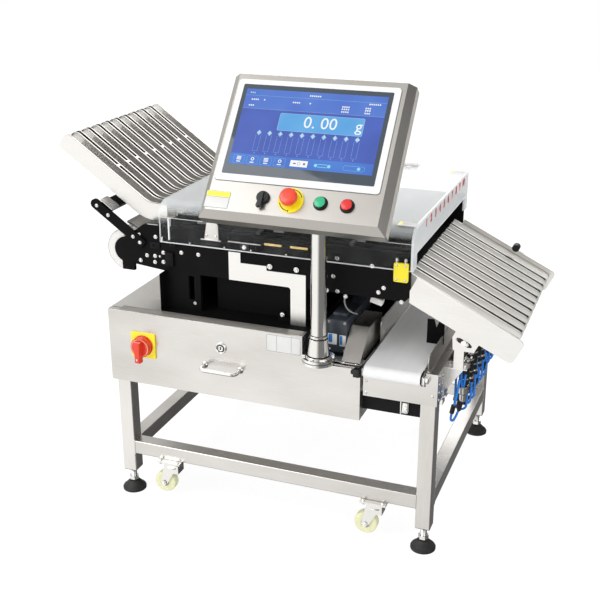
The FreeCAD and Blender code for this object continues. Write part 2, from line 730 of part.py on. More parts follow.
def make_estop_button():
    """The red mushroom head on its stem."""
    radius = BUTTON_RADIUS - COLLAR_WALL - BUTTON_GAP
    stem = Part.makeCylinder(radius, ESTOP_LIFT + BUTTON_ROOT, V(ESTOP_U, BUTTON_LINE, -BUTTON_ROOT))
    head = Part.makeCylinder(ESTOP_RADIUS, ESTOP_HEIGHT, V(ESTOP_U, BUTTON_LINE, ESTOP_LIFT))
    top = [e for e in head.Edges if e.BoundBox.ZMin > ESTOP_LIFT + ESTOP_HEIGHT - 1]
    return on_panel(stem.fuse(head.makeFillet(ESTOP_ROUND, top)))


def side_plate(y0, y1):
    """One black side plate of the transport, with its rounded infeed end and its foot."""
    cut_z = PLATE_LOW + PLATE_CUT
    band = plate_xz([(PLATE_LEFT, cut_z), (LEG_LEFT, PLATE_LOW), (PLATE_RIGHT - PLATE_CUT, PLATE_LOW),
                     (PLATE_RIGHT, cut_z), (PLATE_RIGHT, PLATE_TOP),
                     (PLATE_LEFT + END_RADIUS + TAB_RIGHT, PLATE_TOP),
                      (PLATE_LEFT, END_Z + END_RADIUS)], y0, y1)
    nose = rod(END_RADIUS, V(PLATE_LEFT, y0, END_Z), Y_AXIS, y1 - y0)
    foot = box(LEG_LEFT, LEG_RIGHT, y0, y1, CABINET_TOP, PLATE_TOP)
    tab = box(PLATE_LEFT - TAB_LEFT, PLATE_LEFT + TAB_RIGHT, y0, y1, END_Z - GUARD_RADIUS,
              END_Z - END_RADIUS + TAB_OVERLAP)
    plate = band.fuse(nose).fuse(foot).fuse(tab)
    return plate.cut(box(SLOT_LEFT, SLOT_RIGHT, y0 - 1, y1 + 1, SLOT_LOW, SLOT_HIGH)).removeSplitter()


def make_side_plates():
    """Front and rear side plates."""
    return both_sides(side_plate(PLATE_FRONT, PLATE_FRONT + PLATE_THICK))


def make_bridge_plates():
    """The bright plates that carry the weighing section, front and rear."""
    y1 = PLATE_FRONT
    leg = BRIDGE_RIGHT - BRIDGE_LEG
    outline = [(BRIDGE_LEFT, BRIDGE_LOW), (leg, BRIDGE_LOW), (leg, CABINET_TOP), (BRIDGE_RIGHT, CABINET_TOP),
               (BRIDGE_RIGHT, BRIDGE_STEP), (BRIDGE_LEFT + BRIDGE_WAIST, BRIDGE_STEP),
               (BRIDGE_LEFT + BRIDGE_WAIST, BRIDGE_SHOULDER), (BRIDGE_LEFT + BRIDGE_NECK, BRIDGE_SHOULDER),
               (BRIDGE_LEFT + BRIDGE_NECK, BRIDGE_TOP), (BRIDGE_LEFT, BRIDGE_TOP)]
    plate = plate_xz(outline, y1 - BRIDGE_THICK, y1)
    across = [e for e in plate.Edges if e.BoundBox.YLength > BRIDGE_THICK / 2]
    inner = [e for e in across if abs(e.BoundBox.XMin - leg) < 1 and abs(e.BoundBox.ZMin - BRIDGE_LOW) < 1]
    return both_sides(plate.makeFillet(BRIDGE_ROUND, inner))


def make_weigh_base():
    """The dark body under the lanes, between the side plates, on the cabinet."""
    y0 = PLATE_FRONT + PLATE_THICK
    y1 = FRAME_DEPTH - y0
    deck = PLATE_LOW + BASE_RISE
    low = box(LEG_RIGHT + BASE_INSET, BRIDGE_RIGHT, y0 + BASE_INSET, y1 - BASE_INSET, CABINET_TOP, deck)
    high = box(PLATE_LEFT, PLATE_RIGHT - LANE_OUTLET, y0, y1, deck, BELT_TOP - BELT_THICK)
    return low.fuse(high).removeSplitter()


def lane_centre(k):
    """Y of a lane's middle."""
    return LANE_FRONT + (k + 0.5) * LANE_PITCH


def make_lane_belts():
    """Three short belts in each lane: infeed, weighing and outfeed."""
    belts = []
    half = (LANE_PITCH - BELT_SPACE) / 2 - SHEET - BELT_PLAY
    for k in range(LANES):
        y = lane_centre(k)
        for x0, x1 in zip(BELT_SPLIT[:-1], BELT_SPLIT[1:]):
            belts.append(box(x0, x1 - BELT_SPACE, y - half, y + half, BELT_TOP - BELT_THICK, BELT_TOP))
    return Part.makeCompound(belts)


def make_lane_guides():
    """Thin guide rails between the lanes."""
    rails = []
    for k in range(LANES + 1):
        y = LANE_FRONT + k * LANE_PITCH
        rails.append(box(BELT_SPLIT[0], PLATE_RIGHT - LANE_OUTLET, y - SHEET, y + SHEET,
                         BELT_TOP - BELT_THICK, BELT_TOP + GUIDE_HEIGHT))
    return Part.makeCompound(rails)


def make_end_guard():
    """The curved pale guard round the infeed drums, between the side plates."""
    y0 = PLATE_FRONT + PLATE_THICK
    y1 = FRAME_DEPTH - y0
    tube = rod(GUARD_RADIUS, V(PLATE_LEFT, y0, END_Z), Y_AXIS, y1 - y0)
    tube = tube.cut(rod(GUARD_RADIUS - GUARD_THICK, V(PLATE_LEFT, y0 - 1, END_Z), Y_AXIS, y1 - y0 + 2))
    reach = 2 * GUARD_RADIUS
    return tube.common(box(PLATE_LEFT - reach, PLATE_LEFT, y0, y1, END_Z - reach, END_Z + reach))


def infeed_slope():
    """The infeed chute's slope in radians."""
    return math.atan2(IN_RISE, IN_KNEE_X - IN_TOP_X)


def arm_tip_z():
    """Height of the arms' tips, a fixed drop under the infeed chute's floor line."""
    return IN_KNEE_Z + (IN_KNEE_X - ARM_REACH_X) * math.tan(infeed_slope()) - ARM_DROP


def arm_length():
    """From the arms' root to their tip, along their middle."""
    return math.hypot(ARM_ROOT_X - ARM_REACH_X, arm_tip_z() - ARM_ROOT_Z)


def arm_frame(shape):
    """Turn a piece drawn level, with its origin at the arms' root, to the arms' slope."""
    turned = shape.copy()
    turned.rotate(V(0, 0, 0), Y_AXIS, math.degrees(math.asin((arm_tip_z() - ARM_ROOT_Z) / arm_length())))
    turned.translate(V(ARM_ROOT_X, 0, ARM_ROOT_Z))
    return turned


def make_sensor_arms():
    """The two slanted arms that carry the photo-sensor bar below the infeed chute."""
    y0 = PLATE_FRONT - ARM_THICK
    half = ARM_WIDTH / 2
    arm = box(-arm_length(), ARM_HEEL, y0, PLATE_FRONT, -half, half)
    return both_sides(arm_frame(arm.fuse(rod(half, V(-arm_length(), y0, 0), Y_AXIS, ARM_THICK))))


def make_sensor_bar():
    """The cross bar of the photo sensors between the arms, at their slope."""
    x0 = SENSOR_START - arm_length()
    top = ARM_WIDTH / 2 + SENSOR_LIFT
    bar = box(x0, x0 + SENSOR_WIDTH, PLATE_FRONT, FRAME_DEPTH - PLATE_FRONT, top - SENSOR_THICK, top)
    return arm_frame(bar)


def chute_profile(low, high, y):
    """The long outline of a lane wall of the infeed chute, low and high over its floor line."""
    slope = infeed_slope()
    nx = math.sin(slope)
    nz = math.cos(slope)
    half = math.tan(slope / 2)
    radius = IN_RADIUS
    t_low = (radius - low) * half
    t_high = (radius - high) * half

    def line_point(x, z, offset):
        return V(x + nx * offset, y, z + nz * offset)

    def bend(offset):
        reach = (radius - offset) * half
        knee = V(IN_KNEE_X + offset * half, y, IN_KNEE_Z + offset)
        a = knee - V(math.cos(slope), 0, -math.sin(slope)) * reach
        b = knee + V(reach, 0, 0)
        c = V(b.x, y, b.z) + V(0, 0, radius - offset)
        m = c - (c - knee).normalize() * (radius - offset)
        return a, m, b

    a0, m0, b0 = bend(low)
    a1, m1, b1 = bend(high)
    start_low = line_point(IN_TOP_X, IN_TOP_Z, low)
    start_high = line_point(IN_TOP_X, IN_TOP_Z, high)
    end_low = V(IN_END_X, y, IN_KNEE_Z + low)
    end_high = V(IN_END_X, y, IN_KNEE_Z + high)
    edges = [Part.LineSegment(start_low, a0).toShape(), Part.Arc(a0, m0, b0).toShape(),
             Part.LineSegment(b0, end_low).toShape(), Part.LineSegment(end_low, end_high).toShape(),
             Part.LineSegment(end_high, b1).toShape(), Part.Arc(b1, m1, a1).toShape(),
             Part.LineSegment(a1, start_high).toShape(), Part.LineSegment(start_high, start_low).toShape()]
    return Part.Face(Part.Wire(edges))


def make_infeed_chute():
    """Ten folded channels side by side: each slopes down, bends over a radius and ends level."""
    channels = []
    for k in range(LANES):
        y0 = LANE_FRONT + k * LANE_PITCH + LANE_GAP / 2
        width = LANE_PITCH - LANE_GAP
        block = chute_profile(0, IN_WALL, y0).extrude(V(0, width, 0))
        crest = [e for e in block.Edges if e.BoundBox.YLength > width / 2 and e.BoundBox.ZMin > IN_TOP_Z + 1]
        block = block.makeFillet(IN_ROUND, crest)
        hollow = chute_profile(SHEET, IN_WALL + 1, y0 + SHEET).extrude(V(0, width - 2 * SHEET, 0))
        channels.append(block.cut(hollow))
    return Part.makeCompound(channels)


def make_infeed_carrier():
    """The folded cross strip under the infeed chute, on top of the side plates."""
    inner = PLATE_FRONT + PLATE_THICK
    lip = PLATE_TOP - CARRIER_THICK
    dip = PLATE_TOP - 4 * CARRIER_THICK
    fold = [(CARRIER_LEFT, lip), (CARRIER_DIP, dip), (CARRIER_RISE, PLATE_TOP), (CARRIER_RIGHT, PLATE_TOP),
            (CARRIER_RIGHT, IN_KNEE_Z), (CARRIER_RISE, IN_KNEE_Z), (CARRIER_DIP, dip + CARRIER_THICK),
            (CARRIER_LEFT, lip + CARRIER_THICK)]
    strip = plate_xz(fold, inner, FRAME_DEPTH - inner)
    seat = box(CARRIER_RISE, CARRIER_RIGHT, PLATE_FRONT, FRAME_DEPTH - PLATE_FRONT, PLATE_TOP, IN_KNEE_Z)
    return strip.fuse(seat).removeSplitter()


def outfeed_frame(shape):
    """Turn a piece drawn level, with X down the chute from its upper end, to its slope."""
    turned = shape.copy()
    turned.rotate(V(0, 0, 0), Y_AXIS, OUT_SLOPE)
    turned.translate(V(OUT_TOP_X, 0, OUT_TOP_Z))
    return turned


def make_outfeed_chute():
    """Ten folded channels that slope down from the transport."""
    channels = []
    end = OUT_LENGTH - CHANNEL_SHORT
    for k in range(LANES):
        y0 = LANE_FRONT + k * LANE_PITCH + LANE_GAP / 2
        width = LANE_PITCH - LANE_GAP
        block = box(-CHANNEL_HEAD, end, y0, y0 + width, 0, OUT_WALL)
        ends = [e for e in block.Edges if e.BoundBox.XMin > end - 1 and e.BoundBox.YLength > 1]
        block = block.makeFillet(OUT_ROUND, [e for e in ends if e.BoundBox.ZMin > OUT_WALL - 1])
        hollow = box(-CHANNEL_HEAD - 1, end + 1, y0 + SHEET, y0 + width - SHEET, SHEET, OUT_WALL + 1)
        channels.append(block.cut(hollow))
    return outfeed_frame(Part.makeCompound(channels))


def outfeed_faces():
    """Y of the outer faces of the outfeed chute's front and rear side plates."""
    return PLATE_FRONT - 1, LANE_BACK + 2 * OUT_SIDE_THICK


def make_outfeed_sides():
    """The tall outer side plates of the outfeed chute with rounded corners, a strap below and its ear."""
    front, rear = outfeed_faces()
    pieces = []
    for y in (front, rear - OUT_SIDE_THICK):
        side = box(-OUT_SIDE_HEAD, OUT_LENGTH + OUT_SIDE_TAIL, y, y + OUT_SIDE_THICK, -OUT_SKIRT,
                   OUT_WALL + OUT_SIDE_RISE)
        corners = [e for e in side.Edges if e.BoundBox.XMin > OUT_LENGTH and e.BoundBox.YLength > 1]
        pieces.append(side.makeFillet(OUT_ROUND, corners))
    y0 = front + OUT_SIDE_THICK
    strap = box(STRAP_START, STRAP_START + STRAP_WIDTH, y0, rear - OUT_SIDE_THICK, -OUT_SIDE_THICK, 0)
    ear_y = y0 + CLAMP_THICK
    ear = box(EAR_START, EAR_START + EAR_WIDTH, ear_y, ear_y + OUT_SIDE_THICK, -EAR_DROP, 0)
    sides = outfeed_frame(pieces[0].fuse(pieces[1]).fuse(strap).fuse(ear))
    return sides.common(box(PLATE_RIGHT, 2 * FRAME_LENGTH, 0, FRAME_DEPTH, 0, BELT_TOP)).removeSplitter()


def cover_section(offset):
    """The cover lid's side view at a depth under its outer skin, front edge to rear edge."""
    front = COVER_FRONT + offset
    top = COVER_TOP - offset
    bend = COVER_BEND - offset
    k = bend * (1 - math.sqrt(0.5))
    a = V(0, front, COVER_LOW)
    b = V(0, front, top - bend)
    m = V(0, front + k, top - k)
    c = V(0, front + bend, top)
    d = V(0, COVER_SPLIT, top)
    return a, b, m, c, d


def make_cover_lid():
    """The clear lid, bent from one sheet: front and top."""
    a, b, m, c, d = cover_section(0)
    a2, b2, m2, c2, d2 = cover_section(COVER_THICK)
    edges = [Part.LineSegment(a, b).toShape(), Part.Arc(b, m, c).toShape(),
             Part.LineSegment(c, d).toShape(), Part.LineSegment(d, d2).toShape(),
             Part.LineSegment(d2, c2).toShape(), Part.Arc(c2, m2, b2).toShape(),
             Part.LineSegment(b2, a2).toShape(), Part.LineSegment(a2, a).toShape()]
    lid = Part.Face(Part.Wire(edges)).extrude(V(COVER_RIGHT - COVER_LEFT - COVER_THICK, 0, 0))
    lid.translate(V(COVER_LEFT, 0, 0))
    return lid


def make_cover_end():
    """The clear end panel over the outfeed, open below for the lanes."""
    a, b, m, c, d = cover_section(0)
    wire = [Part.LineSegment(a, b).toShape(), Part.Arc(b, m, c).toShape(),
            Part.LineSegment(c, d).toShape(), Part.LineSegment(d, V(0, d.y, COVER_LOW)).toShape(),
            Part.LineSegment(V(0, d.y, COVER_LOW), a).toShape()]
    panel = Part.Face(Part.Wire(wire)).extrude(V(COVER_THICK, 0, 0))
    gap = box(-1, COVER_THICK + 1, COVER_FRONT + END_LEG, COVER_SPLIT - END_LEG, COVER_LOW - 1,
              COVER_TOP - END_STRIP)
    panel = panel.cut(gap)
    panel.translate(V(COVER_RIGHT - COVER_THICK, 0, 0))
    return panel


def make_cover_back():
    """The fixed clear rear strip that carries the hinges."""
    y0 = COVER_SPLIT + COVER_GAP
    top = box(COVER_LEFT, COVER_RIGHT, y0, COVER_BACK, COVER_TOP - COVER_THICK, COVER_TOP)
    wall = box(COVER_LEFT, COVER_RIGHT, COVER_BACK - COVER_THICK, COVER_BACK, COVER_LOW, COVER_TOP)
    foot_top = COVER_LOW + COVER_FOOT
    foot = box(COVER_LEFT, COVER_RIGHT, FRAME_DEPTH - PLATE_FRONT, COVER_BACK, COVER_LOW, foot_top)
    return top.fuse(wall).fuse(foot).removeSplitter()


def hinge_axis():
    """Y and Z of the lid's hinge line."""
    return COVER_SPLIT + COVER_GAP / 2, COVER_TOP + HINGE_RADIUS + HINGE_LIFT


def make_hinges(on_lid):
    """Half of each hinge: the knuckle and leaf on the lid, or the pin, knuckles and leaves behind it."""
    y, z = hinge_axis()
    pieces = []
    third = HINGE_LENGTH / 3
    leaf_top = COVER_TOP + LEAF_THICK
    for x in HINGE_PLACES:
        x0 = x - HINGE_LENGTH / 2
        if on_lid:
            start = x0 + third + HINGE_PLAY
            length = third - 2 * HINGE_PLAY
            knuckle = rod(HINGE_RADIUS, V(start, y, z), X_AXIS, length)
            leaf = box(start, start + length, y - LEAF_LENGTH, y, COVER_TOP, leaf_top)
            bore = rod(HINGE_PIN + HINGE_PLAY, V(x0 - 1, y, z), X_AXIS, HINGE_LENGTH + 2)
            pieces.append(knuckle.fuse(leaf).cut(bore))
        else:
            pin = rod(HINGE_PIN, V(x0, y, z), X_AXIS, HINGE_LENGTH)
            for start in (x0, x0 + 2 * third):
                knuckle = rod(HINGE_RADIUS, V(start, y, z), X_AXIS, third)
                leaf = box(start, start + third, y + COVER_GAP, y + LEAF_LENGTH, COVER_TOP, leaf_top)
                web = box(start, start + third, y, y + HINGE_RADIUS + 1, COVER_TOP + 1, z)
                pin = pin.fuse(knuckle).fuse(leaf).fuse(web)
            pieces.append(pin.removeSplitter())
    return Part.makeCompound(pieces)


def belt_loop(grow):
    """The outline of the reject belt round its two rollers, grown outwards."""
    radius = ROLLER_RADIUS + grow
    z = REJECT_TOP - REJECT_BELT_THICK - ROLLER_RADIUS
    y0, y1 = roller_places()
    a = V(0, y0, z + radius)
    b = V(0, y1, z + radius)
    c = V(0, y1 + radius, z)
    d = V(0, y1, z - radius)
    e = V(0, y0, z - radius)
    f = V(0, y0 - radius, z)
    return Part.Face(Part.Wire([Part.LineSegment(a, b).toShape(), Part.Arc(b, c, d).toShape(),
                                Part.LineSegment(d, e).toShape(), Part.Arc(e, f, a).toShape()]))


def make_reject_belt():
    """The white belt, one closed loop."""
    loop = belt_loop(REJECT_BELT_THICK).cut(belt_loop(0))
    solid = loop.Faces[0].extrude(V(BELT_RIGHT - BELT_LEFT, 0, 0))
    solid.translate(V(BELT_LEFT, 0, 0))
    return solid


def roller_places():
    """Y of the two end rollers."""
    inset = ROLLER_RADIUS + REJECT_BELT_THICK
    return REJECT_FRONT + inset, REJECT_BACK - inset


def roller_axle(y, z):
    """The axle of one end roller, long enough to pass through both side plates."""
    return rod(ROLLER_AXLE, V(BELT_LEFT - AXLE_STUB, y, z), X_AXIS, BELT_RIGHT - BELT_LEFT + 2 * AXLE_STUB)


def make_reject_rollers():
    """The two end rollers with their axles."""
    z = REJECT_TOP - REJECT_BELT_THICK - ROLLER_RADIUS
    rollers = []
    for y in roller_places():
        drum = rod(ROLLER_RADIUS, V(BELT_LEFT + 1, y, z), X_AXIS, BELT_RIGHT - BELT_LEFT - 2)
        rollers.append(drum.fuse(roller_axle(y, z)))
    return Part.makeCompound(rollers)


def make_reject_frame():
    """The bed under the belt and the two side plates that hold the roller axles, on feet."""
    z = REJECT_TOP - REJECT_BELT_THICK - ROLLER_RADIUS
    clear = 2 * ROLLER_RADIUS + BED_INSET
    side = 2 * BELT_FRAME
    frame = box(BELT_LEFT - BELT_FRAME, BELT_RIGHT + BELT_FRAME, REJECT_FRONT + clear, REJECT_BACK - clear,
                z - ROLLER_RADIUS + BED_DROP, z + ROLLER_RADIUS)
    for x0 in (BELT_LEFT - side, BELT_RIGHT + BELT_FRAME):
        frame = frame.fuse(box(x0, x0 + BELT_FRAME, REJECT_FRONT + BED_INSET, REJECT_BACK - BED_INSET,
                               z - RAIL_HALF, z + RAIL_HALF))
        for y in (TUBE / 2, CROSS_RAIL_Y + TUBE / 2):
            y0 = y - FRAME_FOOT / 2
            frame = frame.fuse(box(x0, x0 + BELT_FRAME, y0, y0 + FRAME_FOOT, UPPER_RAIL_TOP, z))
    for y in roller_places():
        frame = frame.cut(roller_axle(y, z))
    return frame.removeSplitter()


def make_belt_guides():
    """The upright sheet guides on both sides of the reject belt, each with a rounded front corner."""
    side = 2 * BELT_FRAME
    low = REJECT_TOP - GUIDE_DIP
    guides = []
    for x0, front, rise in ((BELT_LEFT - side - GUIDE_SHEET, LEFT_GUIDE_FRONT, LEFT_GUIDE_RISE),
                            (BELT_RIGHT + side, RIGHT_GUIDE_FRONT, RIGHT_GUIDE_RISE)):
        sheet = box(x0, x0 + GUIDE_SHEET, front, REJECT_BACK, low, REJECT_TOP + rise)
        corner = [e for e in sheet.Edges if e.BoundBox.XLength > 1 and e.BoundBox.YMax < front + 1
                  and e.BoundBox.ZMin > REJECT_TOP]
        guides.append(sheet.makeFillet(GUIDE_DIP, corner))
    return Part.makeCompound(guides)


def make_motor_hood():
    """The sheet hood beside the reject belt: sloped in front, open on top, with a flange at its foot."""
    x0 = HOOD_RIGHT - HOOD_WIDTH
    top = STEP_TOP + HOOD_HEIGHT
    outer = plate_yz([(HOOD_FRONT, STEP_TOP), (HOOD_BROW, top), (HOOD_BACK, top), (HOOD_BACK, STEP_TOP)],
                     x0, HOOD_RIGHT)
    inner = plate_yz([(HOOD_FRONT + 2 * HOOD_WALL, STEP_TOP - 1), (HOOD_BROW + 2 * HOOD_WALL, top + 1),
                      (HOOD_BACK - HOOD_WALL, top + 1), (HOOD_BACK - HOOD_WALL, STEP_TOP - 1)],
                     x0 + HOOD_WALL, HOOD_RIGHT - HOOD_WALL)
    lip = HOOD_FRONT - HOOD_WALL * 3
    flange = box(x0, HOOD_RIGHT, lip, HOOD_FRONT + HOOD_WALL, STEP_TOP, STEP_TOP + HOOD_WALL)
    return outer.cut(inner).fuse(flange).removeSplitter()


def make_reject_motor():
    """The gear motor that drives the reject belt: a square gear head and a round motor behind it."""
    x1 = HOOD_RIGHT - HOOD_WIDTH - MOTOR_GAP
    head = box(x1 - MOTOR_WIDTH, x1, MOTOR_FRONT, MOTOR_BACK, STEP_TOP, STEP_TOP + MOTOR_HEIGHT)
    upright = [e for e in head.Edges if e.BoundBox.YLength > MOTOR_WIDTH]
    head = head.makeFillet(HOOD_WALL * 2, upright)
    axis = V(x1 - MOTOR_WIDTH / 2, MOTOR_BACK, STEP_TOP + MOTOR_HEIGHT - MOTOR_RADIUS - HOOD_WALL)
    return head.fuse(rod(MOTOR_RADIUS, axis, Y_AXIS, MOTOR_TAIL))


def make_apron():
    """The folded front apron of the right bay with its return along the right side."""
    x1 = FRAME_LENGTH + APRON_THICK
    tab_top = UPPER_RAIL_TOP + APRON_TAB_RISE
    front = box(CABINET_RIGHT + DRAWER_GAP + 1, x1, -APRON_THICK, 0, APRON_LOW, UPPER_RAIL_TOP)
    tab = box(x1 - APRON_TAB, x1, -APRON_THICK, 0, UPPER_RAIL_TOP, tab_top)
    side = box(FRAME_LENGTH, x1, -APRON_THICK, FRAME_DEPTH, APRON_LOW, tab_top)
    return front.fuse(tab).fuse(side).removeSplitter()


def make_drive_bar():
    """The black crossbar under the apron, between the cabinet and the right leg."""
    inner = FRAME_LENGTH - TUBE
    return box(CABINET_RIGHT, inner, DRIVE_BAR_FRONT, DRIVE_BAR_BACK, DRIVE_BAR_LOW, DRIVE_BAR_TOP)


def clamp_plate(points, slot, slot_length, y):
    """A plate along the chute's slope with a long hole for its clamp."""
    half = slot_length / 2
    radius = CLAMP_SLOT_WIDTH / 2
    d, h = slot
    plate = plate_xz(points, y, y + CLAMP_THICK)
    corners = [e for e in plate.Edges if e.BoundBox.YLength > 1 and e.BoundBox.ZMin > points[1][1] - 1]
    plate = plate.makeFillet(radius, corners)
    plate = plate.cut(box(d - half, d + half, y - 1, y + CLAMP_THICK + 1, h - radius, h + radius))
    for end in (d - half, d + half):
        plate = plate.cut(rod(radius, V(end, y - 1, h), Y_AXIS, CLAMP_THICK + 2))
    return outfeed_frame(plate)


def make_chute_brackets():
    """Shelf brackets with gussets and slotted clamp plates that carry the outfeed chute."""
    x0 = FRAME_LENGTH + APRON_THICK
    shelf_z = UPPER_RAIL_TOP + SHELF_RISE
    front, rear = outfeed_faces()
    half = SHELF_DEPTH / 2
    brackets = []
    for y, plate, shelf_y in (
            (front + OUT_SIDE_THICK, (FRONT_CLAMP, FRONT_SLOT, FRONT_SLOT_LENGTH), front + OUT_SIDE_THICK + half),
            (rear, (REAR_CLAMP, REAR_SLOT, REAR_SLOT_LENGTH), rear + CLAMP_THICK)):
        shelf = box(x0, x0 + SHELF_WIDTH, shelf_y - half, shelf_y + half, shelf_z, shelf_z + SHELF_THICK)
        back = box(x0, x0 + SHELF_THICK, shelf_y - half, shelf_y + half, APRON_LOW, shelf_z)
        gusset = plate_xz([(x0, shelf_z), (x0 + SHELF_WIDTH - SHELF_LAP, shelf_z),
                           (x0, shelf_z - GUSSET_FOOT)],
                          shelf_y, shelf_y + SHELF_THICK)
        web = box(x0 + CLAMP_WEB_LEFT, x0 + CLAMP_WEB_RIGHT, y, y + CLAMP_THICK, shelf_z,
                  UPPER_RAIL_TOP + CLAMP_WEB_TOP)
        bracket = shelf.fuse(back).fuse(gusset).fuse(web).fuse(clamp_plate(*plate, y))
        brackets.append(bracket.removeSplitter())
    return Part.makeCompound(brackets)


def make_chute_knobs():
    """The clamps of the outfeed chute: a bolt through the front slot and a knob at the rear one."""
    front, rear = outfeed_faces()
    y = front + OUT_SIDE_THICK
    bolt = rod(BOLT_RADIUS, V(FRONT_SLOT[0], y - BOLT_HEIGHT, FRONT_SLOT[1]), Y_AXIS, BOLT_HEIGHT)
    bolt = bolt.fuse(rod(CLAMP_STUD, V(FRONT_SLOT[0], y, FRONT_SLOT[1]), Y_AXIS, CLAMP_THICK))
    y = rear + CLAMP_THICK
    knob = rod(KNOB_RADIUS, V(REAR_SLOT[0], y, REAR_SLOT[1]), Y_AXIS, KNOB_HEIGHT)
    outer = [e for e in knob.Edges if e.BoundBox.YMin > y + KNOB_HEIGHT - 1]
    knob = knob.makeFillet(CLAMP_STUD / 2, outer)
    knob = knob.fuse(rod(CLAMP_STUD, V(REAR_SLOT[0], rear, REAR_SLOT[1]), Y_AXIS, CLAMP_THICK))
    return outfeed_frame(Part.makeCompound([bolt, knob]))


def make_valve_bar():
    """The manifold on the right bay's side with one upright air valve for each lane."""
    x0 = FRAME_LENGTH + APRON_THICK
    top = UPPER_RAIL_TOP + MANIFOLD_HEIGHT
    front = LANE_FRONT + MANIFOLD_END
    bar = box(x0, x0 + MANIFOLD_DEPTH, front, LANE_BACK - MANIFOLD_END, UPPER_RAIL_TOP, top)
    for k in range(LANES):
        y = lane_centre(k)
        valve = rod(VALVE_RADIUS, V(x0 + VALVE_REACH, y, UPPER_RAIL_TOP - VALVE_DROP), Z_AXIS, VALVE_HEIGHT)
        neck = box(x0 + MANIFOLD_DEPTH / 2, x0 + VALVE_REACH, y - VALVE_NECK, y + VALVE_NECK,
                   UPPER_RAIL_TOP + SHELF_THICK, top - SHELF_THICK)
        bar = bar.fuse(valve).fuse(neck)
    return bar.removeSplitter()


def make_air_tubes():
    """A blue air tube for each valve, hanging in a bend from its lower end back up to the manifold."""
    x1 = FRAME_LENGTH + APRON_THICK + VALVE_REACH + VALVE_RADIUS - TUBE_RADIUS
    x0 = x1 - 2 * TUBE_BEND
    tubes = []
    for k in range(LANES):
        y = lane_centre(k)
        start_z = UPPER_RAIL_TOP - VALVE_DROP
        low = start_z - TUBE_DROP - TUBE_SPREAD * (k % 3)
        a = V(x1, y, start_z)
        b = V(x1, y, low)
        c = V((x0 + x1) / 2, y, low - TUBE_BEND)
        d = V(x0, y, low)
        e = V(x0, y, UPPER_RAIL_TOP)
        route = Part.Wire([Part.LineSegment(a, b).toShape(), Part.Arc(b, c, d).toShape(),
                           Part.LineSegment(d, e).toShape()])
        ring = Part.Wire(Part.makeCircle(TUBE_RADIUS, a, Z_AXIS))
        tubes.append(route.makePipeShell([ring], True, False))
    return Part.makeCompound(tubes)


def make_parts():
    """All pieces by node name, in the working frame."""
    parts = {
        "legs": make_legs(), "lower_rails": make_lower_rails(), "upper_rails": make_upper_rails(),
        "foot_discs": make_foot_discs(), "foot_studs": make_foot_studs(), "caster_plates": make_caster_plates(),
        "cabinet_shell": make_cabinet_shell(), "drawer_front": make_drawer_front(),
        "drawer_tray": make_drawer_tray(), "drawer_handle": make_drawer_handle(),
        "drawer_lock": make_drawer_lock(), "isolator_plate": make_isolator_plate(),
        "isolator_handle": make_isolator_handle(), "hmi_post": make_hmi_post(),
        "hmi_housing": make_hmi_housing(), "hmi_screen": make_hmi_screen(), "button_bezels": make_bezels(),
        "green_button": make_push_button(GREEN_U), "red_button": make_push_button(RED_U),
        "key_switch": make_key_switch(), "estop_collar": make_estop_collar(),
        "estop_button": make_estop_button(), "side_plates": make_side_plates(),
        "bridge_plates": make_bridge_plates(), "weigh_base": make_weigh_base(),
        "lane_belts": make_lane_belts(), "lane_guides": make_lane_guides(), "end_guard": make_end_guard(),
        "sensor_arms": make_sensor_arms(), "sensor_bar": make_sensor_bar(),
        "infeed_chute": make_infeed_chute(), "infeed_carrier": make_infeed_carrier(),
        "outfeed_chute": make_outfeed_chute(), "outfeed_sides": make_outfeed_sides(),
        "cover_lid": make_cover_lid(), "cover_end": make_cover_end(), "cover_back": make_cover_back(),
        "lid_hinges": make_hinges(True), "back_hinges": make_hinges(False),
        "reject_belt": make_reject_belt(), "reject_rollers": make_reject_rollers(),
        "reject_frame": make_reject_frame(), "belt_guides": make_belt_guides(),
        "motor_hood": make_motor_hood(), "reject_motor": make_reject_motor(), "apron": make_apron(),
        "drive_bar": make_drive_bar(), "chute_brackets": make_chute_brackets(), "valve_bar": make_valve_bar(),
        "chute_knobs": make_chute_knobs(), "air_tubes": make_air_tubes(),
    }
    for name, x, y in caster_places():
        parts["caster_fork_" + name] = make_caster_fork(x, y)
        parts["caster_wheel_" + name] = make_caster_wheel(x, y)
    return parts


def main():
    """Centre the machine over the origin, stand it on the floor and write one file a node."""
    os.makedirs("parts", exist_ok=True)
    parts = make_parts()
    bounds = FreeCAD.BoundBox()
    for shape in parts.values():
        bounds.add(shape.BoundBox)
    shift = V(-bounds.Center.x, -bounds.Center.y, -bounds.ZMin)
    print("shift", shift, "size", bounds.XLength, bounds.YLength, bounds.ZLength)
    for name, shape in parts.items():
        shape.translate(shift)
        shape.exportStep("parts/" + name + ".step")


main()
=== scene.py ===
"""Looks of a ten-lane checkweigher for stick packs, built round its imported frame.

Lengths are millimetres in the machine's own axes: X along the product flow, Y to the rear and
Z up, from the floor under the outer corner of the front left leg.  Each piece is turned into
the frame's metres when its mesh is made.
"""
import logging
import math
from dataclasses import dataclass
from enum import Enum

import bmesh
import bpy
from mathutils import Matrix, Vector


